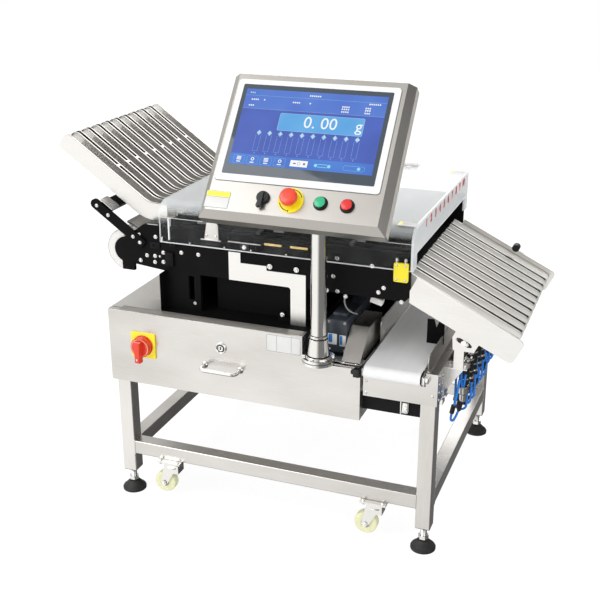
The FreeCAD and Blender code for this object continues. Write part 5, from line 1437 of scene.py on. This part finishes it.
    def ledge(self) -> None:
        """What stands on the front plate under the clear cover."""
        ledge = Shape()
        for x0, x1 in ((130.0, 316.0), (322.0, 556.0), (562.0, 790.0)):
            ledge.prism([(66, 783), (84, 783), (84, 789), (72, 789)], "X", x0, x1, 0.5)
        self.add(ledge, "ledge_strips", BLACK_PLATE, "black_steel")
        bracket = Shape()
        bracket.block((241, 53.6, 759.5), (298, 58, 762.5), 0.6)
        bracket.prism([(251, 762), (291, 762), (291, 800), (282, 815), (260, 815)], "Y", 55.3, 57.6, 0.6)
        self.add(bracket, "lane_bracket", SHEET_Z, "stainless")
        strip = Shape().prism([(318, 53.6), (408, 53.6), (408, 58), (318, 58)], "Z", 761.8, 764.2, 0.4)
        self.add(strip, "stop_strip", SHEET, "stainless")
        knobs = Shape()
        for x in (258, 284):
            knobs.dome_screw((x, 55.3, 772), FRONT, 3.4)
        knobs.lathe((363, self.face, 752), FRONT, [(0, 0), (6.5, 0), (6.5, 4), (5, 6), (0, 6.4)], 24)
        for x in (209, 307, 381, 477):
            knobs.rod((x, self.face, 745), (x, 54.5, 745), 2.4, 0.6, 16)
        self.add(knobs, "ledge_screws", BOLT, "bright_stainless")
        arm = Shape()
        arm.block((392, 62, 786), (404, 150, 794), 1.0)
        arm.lathe((398, 140, 794), UP, [(0, 0), (9, 0), (9, 8), (6, 12), (0, 12)], 24)
        arm.block((352, 55, 744), (374, 58, 760), 0.8)
        arm.block((640, 62, 786), (652, 130, 794), 1.0)
        arm.lathe((646, 110, 794), UP, [(0, 0), (8, 0), (8, 10), (5, 14), (0, 14)], 24)
        self.add(arm, "stop_arms", BLACK_MOULDED_AND_SHADE, "black_plastic")
        inlays = Shape()
        for x in (417, 487):
            inlays.block((x, self.face - 0.6, 763), (x + 47, self.face + 0.2, 769), 0.2)
        self.add(inlays, "gold_inlays", BRASS, "bright_stainless")

    def interlock(self) -> None:
        """The yellow coded actuator on the cover's front, with its screws and studs."""
        plate = Shape().prism(rounded_box(760, 796, 715, 763, 3.0), "Y", 41.5, 47.8, 0.8)
        self.add(plate, "interlock_actuator", YELLOW, "yellow_plastic", "cover")
        screws = Shape()
        for x in (767, 789):
            for z in (721, 757):
                screws.dome_screw((x, 41.5, z), FRONT, 3.4)
            screws.rod((x, 44.5, 763), (x, 44.5, 775), 3.0, 0.8, 16)
            screws.hex_nut((x, 44.5, 768), UP, 8.0, 3.0)
        self.add(screws, "interlock_screws", BOLT, "bright_stainless", "cover")

    def under_plate(self) -> None:
        """The pale sensor block under the plate's right end, and the cable left of it."""
        turn = Matrix.Translation((706, 96, 640)) @ Matrix.Rotation(math.radians(14), 4, "Y")
        self.add(Shape().block((-16, -9, -8), (16, 9, 8), 1.2, turn), "sensor_block", PALE_SHEET, "pale_guard")
        route = [(634, 70, 652), (626, 72, 640), (628, 80, 616), (640, 90, 600), (650, 110, 590)]
        self.add(Shape().pipe(rounded(route, 20.0), 2.0, 10), "sensor_cable", GREY_PLASTIC, "pale_guard")

    def arms(self) -> None:
        """Screws and the small sensor head on the arms under the infeed chute."""
        shape = Shape(ON_ARM)
        for along in (-124.0, -84.0, 4.0, 28.0):
            shape.cap_screw((along, 50.0, 0.0), FRONT, 3.6)
            shape.cap_screw((along, 670.0, 0.0), REAR, 3.6)
        self.add(shape, "arm_screws", BOLT, "bright_stainless")
        head = Shape(ON_ARM).prism(rounded_box(-126, -82, 54, 92, 3.0), "Z", 17.0, 19.5, 0.5)
        self.add(head, "sensor_plate", SHEET_Y, "stainless")
        body = Shape(ON_ARM)
        body.prism(rounded_box(-103, -84, 57, 89, 3.0), "Z", 19.4, 22.5, 0.6)
        body.ring((-93.5, 73.0, 22.4), UP, 5.5, 3.6, 0.8, 0.3, 24)
        self.add(body, "sensor_head", GREY_PLASTIC, "black_plastic")


@dataclass
class Lanes(Assembly):
    """What is seen of the ten lanes: rollers, the guides' clips and the red numbers."""

    front: float = 90.0
    pitch: float = 50.0
    belt_top: float = 772.0
    number_x: float = 806.4
    number_height: float = 833.0
    first_number: float = 166.0
    number_pitch: float = 47.0

    def build(self) -> None:
        """Rollers at the belts' joints, clips on the guides, then the lane numbers."""
        rollers = Shape()
        caps = Shape()
        for k in range(LANES):
            y = self.front + (k + 0.5) * self.pitch
            for x in (134.5, 330.0, 556.0):
                rollers.rod((x, y - 19, self.belt_top - 6), (x, y + 19, self.belt_top - 6), 5.5, 0.6, 16)
        for k in range(LANES + 1):
            y = self.front + k * self.pitch
            for x in (230.0, 444.0, 660.0):
                caps.block((x - 14, y - 2.2, 790.0), (x + 14, y + 2.2, 797.5), 0.8)
        self.add(rollers, "belt_rollers", BOLT, "bright_stainless")
        self.add(caps, "guide_clips", GREY_PLASTIC, "black_plastic")
        numbers = Shape()
        for k in range(LANES):
            y = self.first_number + self.number_pitch * k
            turn = Matrix(((0, 0, 1, self.number_x), (1, 0, 0, y), (0, 1, 0, self.number_height), (0, 0, 0, 1)))
            numbers.words(str(k + 1), 29.0, turn, 0.15, 1.5)
        self.add(numbers, "lane_numbers", RED_INK, "red_plastic", "cover")


@dataclass
class ClearCover(Assembly):
    """The clear cover's edges and end strip, drawn as bright lines of painted highlight, and its fittings."""

    left: float = 126.0
    right: float = 806.0
    front: float = 48.0
    low: float = 742.0
    top: float = 850.0
    bend: float = 40.0
    split: float = 655.0

    def section(self, x: float, inset: float = 0.0) -> list:
        """The cover's side view at one place along the machine."""
        front = self.front + inset
        top = self.top - inset
        bend = self.bend - inset
        arc = [(x, front + bend - bend * math.cos(math.radians(a)), top - bend + bend * math.sin(math.radians(a)))
               for a in range(0, 91, 10)]
        return [(x, front, self.low)] + arc + [(x, self.split, top)]

    def build(self) -> None:
        """Painted highlights along the cover's outline and on the left end's gusset, then along the end strip, then
        blank labels.
        """
        edges = Shape()
        for x, inset in ((self.left + 0.5, 0.4), (self.left + 0.5, 4.6), (self.right - 5.5, 0.4)):
            edges.pipe(self.section(x, inset), 0.55, 6)
        for y, z in ((self.front + 0.3, self.low + 0.4), (self.front + 4.7, self.low + 0.4),
                     (self.front + 0.3, self.top - self.bend), (self.split - 0.4, self.top - 0.4)):
            edges.pipe([(self.left, y, z), (self.right, y, z)], 0.6, 6)
        self.add(edges, "cover_edge_highlights", EDGE_HIGHLIGHT, "clear_cover", "cover")
        # the left end's gusset, white as painted highlight
        gusset = Shape()
        x0, x1 = self.left + 0.6, self.left + 3.6
        gusset.block((x0, self.front + 5.2, self.low + 1), (x1, self.front + 34, self.low + 4), 0.4)
        gusset.prism([(53.4, 746), (84, 770), (84, 773), (53.4, 750)], "X", x0, x1, 0.3)
        gusset.block((self.left + 22, 53.2, 748), (self.left + 25, 66, 806), 0.4)
        self.add(gusset, "cover_gusset", EDGE_HIGHLIGHT, "clear_cover", "cover")
        strip = Shape()
        for z in (845.5, 781.0):
            strip.pipe([(self.right + 0.2, self.front + 20, z), (self.right + 0.2, self.split, z)], 0.5, 6)
        self.add(strip, "end_strip_highlights", EDGE_HIGHLIGHT, "clear_cover", "cover")
        label = Shape()
        band = Shape()
        for y in (64, 614):
            label.prism(rounded_box(758, 802, y, y + 34, 1.5), "Z", self.top, self.top + 0.35, 0.1)
            band.prism(rounded_box(759, 767, y + 1, y + 33, 1.0), "Z", self.top + 0.3, self.top + 0.5)
        self.add(label, "cover_label", LABEL, "aluminium", "cover")
        self.add(band, "cover_label_band", YELLOW, "yellow_plastic", "cover")


@dataclass
class Chutes(Assembly):
    """Fittings of the two chutes: folded hems, black strips of painted shadow over the gaps, clamps, seams and upper
    ends.
    """

    front: float = 90.0
    pitch: float = 50.0
    gap: float = 3.0
    hem: float = 4.6
    strip: float = 11.0
    high_end: tuple = (-190.0, 963.5)
    knee: tuple = (60.0, 785.0)
    low_end: float = 128.0
    bend: float = 110.0
    infeed_wall: float = 47.0
    crest: float = 20.0
    outfeed_wall: float = 38.0
    outfeed_span: tuple = (-33.0, 280.0)
    outfeed_round: float = 14.0

    def build(self) -> None:
        """Hems and black strips of painted shadow on both chutes, the outfeed's clamps, then the infeed's joints."""
        self.walls("infeed", self.infeed_line, self.infeed_wall, 200.0, None)
        self.walls("outfeed", self.outfeed_line, self.outfeed_wall, 274.0, ON_OUTFEED)
        self.clamps()
        self.joints()

    def slope(self) -> float:
        """The infeed's slope in radians."""
        return math.atan2(self.high_end[1] - self.knee[1], self.knee[0] - self.high_end[0])

    def infeed_line(self, height: float) -> list:
        """The infeed's long line at a height over its floor, from the upper end to the lower.

        Args:
            height: Distance from the floor's underside.

        Returns:
            Points in X and Z.
        """
        slope = self.slope()
        lift = Vector((math.sin(slope), math.cos(slope)))
        half = math.tan(slope / 2)
        top = Vector(self.high_end)
        corner = Vector((self.knee[0] + height * half, self.knee[1] + height))
        middle = (top + lift * height + corner) / 2
        head = rounded([top + lift * 2.0, top + lift * height, middle], self.crest)
        tail = rounded([middle, corner, (self.low_end, corner.y)], (self.bend - height) * half)
        return [tuple(p) for p in head + tail[1:]]

    def outfeed_line(self, height: float) -> list:
        """The outfeed's long line at a height over its floor, in its own slope."""
        start, end = self.outfeed_span
        corners = [Vector((start, height)), Vector((end, height)), Vector((end, 2.0))]
        return [tuple(p) for p in rounded(corners, self.outfeed_round, 10)]

    def walls(self, name: str, line: object, wall: float, end: float, place: Matrix | None) -> None:
        """Bright folded hems along every wall's top, and a black strip of painted shadow over each gap between two
        channels.

        Args:
            name: The chute's name.
            line: Its long line at a given height.
            wall: Height of its walls.
            end: Where the strips end along it.
            place: The placement of its own drawing.
        """
        hems = Shape(place)
        # painted shadow: a black strip over each gap between two channels
        painted_gaps = Shape(place)
        hem = line(wall + 0.5) + line(wall - 1.2)[::-1]
        strip = [q for q in line(wall + 0.25) if q[0] < end] + [q for q in line(wall - 2.0) if q[0] < end][::-1]
        for k in range(LANES + 1):
            middle = self.front + k * self.pitch
            inner = self.strip / 2 if 0 < k < LANES else self.gap / 2
            for side in (-1, 1):
                if (k == 0 and side < 0) or (k == LANES and side > 0):
                    continue
                low, high = sorted((middle + side * inner, middle + side * (inner + self.hem)))
                hems.prism(hem, "Y", low, high)
            if 0 < k < LANES:
                painted_gaps.prism(strip, "Y", middle - inner, middle + inner)
        self.add(hems, name + "_hems", RIM, "bright_stainless")
        self.add(painted_gaps, name + "_gap_shade_strips", SHADE_BLACK, "black_rubber")

    def clamps(self) -> None:
        """The front clamp's slot drawn as a black plate of painted shade, with its bolt, and the black knob behind the
        rear side.
        """
        slot = Shape(ON_OUTFEED)
        # painted shade: a flat black plate where the clamp's slot is
        slot.prism(rounded_box(150.0, 186.0, -38.5, -26.5, 5.8), "Y", 59.2, 60.2, 0.2)
        slot.lathe((158.0, 584.0, 56.0), REAR,
                   [(0, 0), (9.0, 0), (10.5, 2.0), (10.5, 24.0), (9.0, 26.0), (0, 26.0)], 28)
        self.add(slot, "clamp_slot_shade_and_knob", BLACK_MOULDED_AND_SHADE, "black_plastic")
        bolt = Shape(ON_OUTFEED).cap_screw((176.0, 59.2, -32.5), FRONT, 3.6)
        self.add(bolt, "clamp_bolt", BOLT, "bright_stainless")

    def joints(self) -> None:
        """A thin joint line across each infeed channel, a bright bridge over each gap, and upper ends in a pale matt
        finish of painted light.
        """
        slope = self.slope()
        down = Vector((math.cos(slope), 0, -math.sin(slope)))
        up = Vector((math.sin(slope), 0, math.cos(slope)))
        top = Vector((self.high_end[0], 0.0, self.high_end[1]))
        middle = (top + Vector((self.knee[0], 0.0, self.knee[1]))) / 2
        seams = Shape()
        bridges = Shape()
        ends = Shape()
        profile = rounded([top + down * 1.0 + up * 3.0, top + down * 1.0 + up * 44.0,
                           top + down * 38.0 + up * 44.0], 19.0)
        face = [(q.x, q.z) for q in profile + [top + down * 34.0 + up * 3.0]]
        for k in range(LANES):
            y0 = self.front + k * self.pitch + self.gap / 2
            y1 = y0 + self.pitch - self.gap
            at = middle + up * 1.7
            seams.pipe([(at.x, y0 + 1.7, at.z), (at.x, y1 - 1.7, at.z)], 0.4, 6)
            ends.prism(face, "Y", y1 - 2.2, y1 - 1.6)
            if k:
                turn = Matrix.Translation(middle + up * self.infeed_wall) @ Matrix.Rotation(slope, 4, "Y")
                gap = self.front + k * self.pitch
                bridges.block((-4.0, gap - self.strip / 2, -1.0), (4.0, gap + self.strip / 2, 0.3), 0.2, turn)
        self.add(seams, "infeed_seams", BRIGHT, "bright_stainless")
        self.add(bridges, "infeed_bridges", RIM, "bright_stainless")
        self.add(ends, "infeed_ends", LIT_LIP, "chute_steel")


@dataclass
class RejectConveyor(Assembly):
    """The cross conveyor: bearings, tensioners, notch bracket, guides' lips, apron latch and motor."""

    axle: tuple = (-7.0, 491.0)
    motor_front: float = 62.0

    def build(self) -> None:
        """Front end, guides, apron and drive."""
        self.bearings()
        self.guides()
        self.apron()
        self.motor()

    def bearings(self) -> None:
        """Black bearing brackets on the left, bright belt tensioners on the right."""
        y, z = self.axle
        black = Shape()
        black.block((696, y - 14, z - 15), (703, y + 16, z + 9), 1.5)
        black.lathe((703.5, y, z), LEFT, [(0, 0), (9.5, 0), (9.5, 8), (7.5, 10), (0, 10)], 24)
        black.rod((693, y, z), (686, y, z), 4.5, 0.8, 18)
        black.block((684, -28, z - 13), (700, -11.5, z + 9), 1.5)
        black.lathe((684, -19, z - 2), LEFT, [(0, 0), (6.5, 0), (6.5, 5), (4.5, 7), (0, 7)], 24)
        self.add(black, "belt_bearings", BLACK_MOULDED_AND_SHADE, "black_plastic")
        bright = Shape()
        bright.block((857, 8, z - 10), (860, 60, z + 8), 0.6)
        bright.block((858, y - 12, z - 13), (863, y + 14, z + 10), 1.5)
        bright.lathe((863, y, z), RIGHT, [(0, 0), (9.5, 0), (9.5, 6), (7.0, 8), (5.0, 8), (4.6, 5), (0, 5)], 24)
        bright.rod((861.5, -6, z - 5), (861.5, 44, z - 5), 2.5, 0.5, 16)
        for nut in (10, -2):
            bright.hex_nut((861.5, nut, z - 5), REAR, 9.0, 4.0)
        bright.cap_screw((860, 30, z + 3), RIGHT, 3.0)
        self.add(bright, "belt_tensioners", BOLT, "bright_stainless")

    def guides(self) -> None:
        """The black bracket with a notch over the belt, and the guides' lips and screws."""
        outline = [(817, 575), (817, 508.6), (862, 508.6), (862, 575), (849, 575), (841, 552), (835, 575)]
        self.add(Shape().prism(outline, "Y", 178, 181, 0.4), "notch_bracket", BLACK_PLATE, "black_steel")
        lips = Shape()
        for x, y, z in ((700, 164, 564), (859, 44, 536)):
            lips.pipe([(x, y, z), (x, 640, z)], 1.3, 8)
        for y in (190, 320, 450, 580):
            lips.dome_screw((702, y, 522), RIGHT, 3.4)
            lips.dome_screw((858, y, 522), LEFT, 3.4)
        self.add(lips, "guide_lips", BRIGHT, "bright_stainless")

    def apron(self) -> None:
        """The latch on the black bar and the apron's screws."""
        latch = Shape()
        latch.prism([(800, 383), (816, 383), (819, 390), (819, 412), (803, 412), (803, 390)], "Y", 9, 13.9, 0.8)
        latch.rod((811, 9, 398), (811, 3, 398), 5.0, 0.8, 20)
        latch.rod((816, 8, 390), (816, 8, 412), 2.2, 0.5, 14)
        latch.block((797, 11, 378), (800, 14, 414), 0.4)
        self.add(latch, "apron_latch", BOLT, "bright_stainless")
        screws = Shape()
        for x, z in ((712, 462), (712, 430), (880, 448)):
            screws.dome_screw((x, -2.0, z), FRONT, 3.4)
        for z in (432, 452, 474, 496):
            screws.dome_screw((892.0, 16.0, z), RIGHT, 4.2)
            screws.dome_screw((892.0, 50.0, z - 12), RIGHT, 3.6)
        self.add(screws, "apron_screws", BOLT, "bright_stainless")

    def motor(self) -> None:
        """Fins, a front plate, a cable box, blank labels and screws on the gear motor."""
        face = self.motor_front
        fins = Shape()
        for k in range(9):
            fins.ring((612, 196 + 9 * k, 560), REAR, 27.0, 24.0, 2.4, 0.4, 36)
        fins.block((586.4, face - 2.0, 548.0), (638.6, face + 0.2, 586.6), 1.0)
        fins.block((594, 84, 587), (630, 128, 597), 2.0)
        self.add(fins, "motor_fins", GREY_ENAMEL, "motor_grey")
        for name, boxes, low, high, edge, finish, slot in (
                ("motor_labels", ((588, 612, 518, 548, 1.5), (619, 636, 516, 546, 1.5)), face - 0.8, face + 0.1, 0.2,
                 LABEL, "aluminium"),
                ("motor_label_bands", ((590, 600, 524, 546, 1.0), (620, 627, 520, 544, 1.0)), face - 1.1, face - 0.6,
                 0.1, BLUE_LABEL, "blue_tube")):
            label = Shape()
            for box in boxes:
                label.prism(rounded_box(*box), "Y", low, high, edge)
            self.add(label, name, finish, slot)
        screws = Shape()
        for x in (592, 633):
            for z in (504, 580):
                screws.cap_screw((x, face, z), FRONT, 3.4)
        for x, y, z, radius in ((666, 24.0, 499.2, 4.0), (666, 190.0, 499.2, 4.0), (650, 4.5, 499.0, 3.2),
                                (682, 4.5, 499.0, 3.2)):
            screws.dome_screw((x, y, z), UP, radius)
        self.add(screws, "motor_screws", BOLT, "bright_stainless")


@dataclass
class AirUnit(Assembly):
    """The row of air valves on the right: caps, fittings, collars, loose tubes and regulators."""

    front: float = 90.0
    pitch: float = 50.0
    axis_x: float = 934.0
    top: float = 502.0
    low: float = 440.0
    ports: tuple = ((942.0, 433.0), (912.0, 463.0))
    loops: int = 14
    loop_pitch: float = 37.0

    def build(self) -> None:
        """Each valve's caps and fittings, the tube bundle, then the shelf's nuts."""
        caps = Shape()
        fittings = Shape()
        plugs = Shape()
        for k in range(LANES):
            y = self.front + (k + 0.5) * self.pitch
            x = self.axis_x
            caps.lathe((x, y, self.top), UP, [(0, 0), (11.4, 0), (11.4, 3), (9, 6), (5, 7), (0, 7)], 24)
            for z in (self.low + 14, self.top - 16):
                caps.ring((x, y, z), UP, 11.6, 10.0, 3.0, 0.6, 24)
            fittings.rod((x, y, self.top + 7), (x, y, self.top + 13), 3.2, 0.6, 16)
            for x, z in self.ports:
                fittings.hex_nut((x, y, z), UP, 10.0, 7.0)
                plugs.lathe((x, y, z), DOWN, [(0, 0), (5.6, 0), (5.6, 7), (4.2, 9), (0, 9)], 20)
        self.add(caps, "valve_caps", BRIGHT, "bright_stainless")
        self.add(fittings, "valve_fittings", NICKEL, "bright_stainless")
        self.add(plugs, "tube_collars", BLACK_MOULDED_AND_SHADE, "black_plastic")
        self.bundle()
        clamp = Shape()
        clamp.cap_screw((955.5, 63.5, 536.0), RIGHT, 3.6)
        for x in (905, 938):
            clamp.hex_nut((x, 78.0, 503.0), UP, 10.0, 4.5)
        self.add(clamp, "shelf_nuts", BOLT, "bright_stainless")

    def bundle(self) -> None:
        """Loose blue tubes that hang in loops below the valves, with black unions and two pale regulators."""
        tubes = Shape()
        unions = Shape()
        for k in range(self.loops):
            y = 74.0 + self.loop_pitch * k
            x = 914.0 + 9.0 * math.sin(2.1 * k)
            low = 352.0 + 26.0 * math.sin(1.3 * k) + 4.0 * k
            route = [(x + 16, y - 6, 470), (x + 10, y - 10, 410), (x - 4, y - 4, low), (x + 6, y + 16, low - 6),
                     (x + 20, y + 26, 404), (x + 12, y + 30, 476)]
            tubes.pipe(rounded(route, 30.0, 8), 3.1, 10)
            unions.rod((x + 6, y - 9, 400), (x + 1, y - 6, 376), 6.0, 1.0, 18)
            unions.rod((x + 13, y + 21, 372), (x + 19, y + 25, 398), 5.2, 1.0, 18)
        self.add(tubes, "tube_bundle", BLUE_TUBE, "blue_tube")
        self.add(unions, "tube_unions", BLACK_MOULDED_AND_SHADE, "black_plastic")
        regulator = Shape()
        for y in (104.0, 176.0):
            regulator.rod((934, y, 438), (934, y, 418), 13.0, 2.0, 28)
            regulator.rod((934, y, 418), (934, y, 396), 9.5, 2.5, 28)
        self.add(regulator, "air_regulators", NICKEL, "bright_stainless")


@dataclass
class Studio:
    """The pale floor, the soft lights and the photograph's camera."""

    camera_at: Point = (1370.5, -2210.4, 1552.2)
    yaw: float = 20.70
    pitch: float = 20.86
    lens: float = 61.39
    lamps: tuple = (
        ("key", (-1500.0, -1900.0, 2600.0), 2.2, 46.0),
        ("fill", (2600.0, -1500.0, 1700.0), 2.2, 20.0),
        ("back", (600.0, 2600.0, 2300.0), 2.4, 26.0),
    )
    aim: Point = (450.0, 320.0, 520.0)

    def build(self) -> None:
        """Make the world, floor, lamps and camera."""
        self.make_world()
        self.make_floor()
        for name, place, size, power in self.lamps:
            self.make_lamp(name, place, size, power)
        self.make_camera()

    def make_world(self) -> None:
        """A white surround for the camera; reflections are white in front and fall to grey behind."""
        world = bpy.data.worlds.new("studio")
        bpy.context.scene.world = world
        world.use_nodes = True
        tree = world.node_tree
        tree.nodes.clear()
        ray = add_node(tree, "ShaderNodeLightPath")
        seen = combine(tree, "MAXIMUM", ray.outputs["Is Camera Ray"], ray.outputs["Is Transmission Ray"])
        place = add_node(tree, "ShaderNodeTexCoord")
        split = add_node(tree, "ShaderNodeSeparateXYZ", links={0: place.outputs["Generated"]})
        across, depth, height = split.outputs
        rear = ramp(tree, height, -0.4, 0.4, 0.3, 0.62)
        level = add_node(tree, "ShaderNodeMapRange", values={"From Min": 0.0, "From Max": 0.85, "To Min": 1.05},
                         links={"Value": depth, "To Max": rear}).outputs[0]
        side = ramp(tree, across, -0.1, 0.4, 1.1, 0.2)
        under = ramp(tree, height, -0.85, -0.5, 0.4, 1.0)
        over = ramp(tree, height, 0.6, 0.9, 1.0, 0.8)
        for factor in (side, under, over):
            level = combine(tree, "MULTIPLY", level, factor)
        white = add_node(tree, "ShaderNodeBackground", values={"Color": (1, 1, 1, 1), "Strength": 1.0})
        gloss = add_node(tree, "ShaderNodeBackground", values={"Color": (1, 0.99, 0.97, 1)},
                         links={"Strength": level})
        fill = add_node(tree, "ShaderNodeBackground", values={"Color": (1, 1, 1, 1), "Strength": 0.92})
        lit = mix_shaders(tree, ray.outputs["Is Glossy Ray"], fill, gloss)
        surround = mix_shaders(tree, seen, lit, white)
        add_node(tree, "ShaderNodeOutputWorld", links={"Surface": surround.outputs[0]})

    def make_floor(self) -> None:
        """A pale floor that the camera sees as the white surround, with the machine's shadow on it."""
        shape = Shape()
        shape.block((-9000, -9000, -20), (9000, 9000, 0))
        floor = shape.thing("studio_floor")
        material = bpy.data.materials.new("studio_floor")
        material.use_nodes = True
        tree = material.node_tree
        tree.nodes.clear()
        ray = add_node(tree, "ShaderNodeLightPath")
        share = add_node(tree, "ShaderNodeMath", {"operation": "MULTIPLY"}, {1: 0.75},
                         {0: ray.outputs["Is Camera Ray"]})
        matt = add_node(tree, "ShaderNodeBsdfDiffuse", values={"Color": (0.9, 0.9, 0.9, 1)})
        white = add_node(tree, "ShaderNodeEmission", values={"Color": (1, 1, 1, 1), "Strength": 1.15})
        clear = add_node(tree, "ShaderNodeBsdfTransparent")
        past = mix_shaders(tree, ray.outputs["Is Glossy Ray"], mix_shaders(tree, share.outputs[0], matt, white), clear)
        add_node(tree, "ShaderNodeOutputMaterial", links={"Surface": past.outputs[0]})
        floor.data.materials.append(material)

    def make_lamp(self, name: str, place: Point, size: float, power: float) -> None:
        """Add a square soft lamp that points at the machine.

        Args:
            name: The lamp's name.
            place: Where it stands, in the machine's millimetres.
            size: Side of its square in metres.
            power: Its power in watts.
        """
        lamp = bpy.data.lights.new(name, "AREA")
        lamp.size = size
        lamp.energy = power
        thing = bpy.data.objects.new(name, lamp)
        thing.location = TO_FRAME @ Vector(place)
        away = (TO_FRAME @ Vector(self.aim)) - thing.location
        thing.rotation_euler = away.to_track_quat("-Z", "Y").to_euler()
        bpy.context.scene.collection.objects.link(thing)

    def make_camera(self) -> None:
        """Set the camera at the photograph's place."""
        camera = bpy.data.cameras.new("photo_camera")
        camera.lens = self.lens
        camera.sensor_width = 36.0
        camera.clip_end = 60.0
        thing = bpy.data.objects.new("photo_camera", camera)
        thing.location = TO_FRAME @ Vector(self.camera_at)
        thing.rotation_euler = (math.radians(90 - self.pitch), 0.0, math.radians(self.yaw))
        bpy.context.scene.collection.objects.link(thing)
        bpy.context.scene.camera = thing


def main() -> None:
    """Build the machine's looks in order."""
    logging.basicConfig(level=logging.INFO, format="%(message)s")
    bpy.context.scene.view_settings.view_transform = "Standard"
    dress_nodes()
    LOG.info("dressed %d nodes", len(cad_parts))
    for part in (BaseFrame(), Castors(), Cabinet(), OperatorPanel(), Transport(), Lanes(), ClearCover(),
                 Chutes(), RejectConveyor(), AirUnit()):
        part.build()
    Studio().build()
    LOG.info("studio ready")


if __name__ == "__main__":
    main()
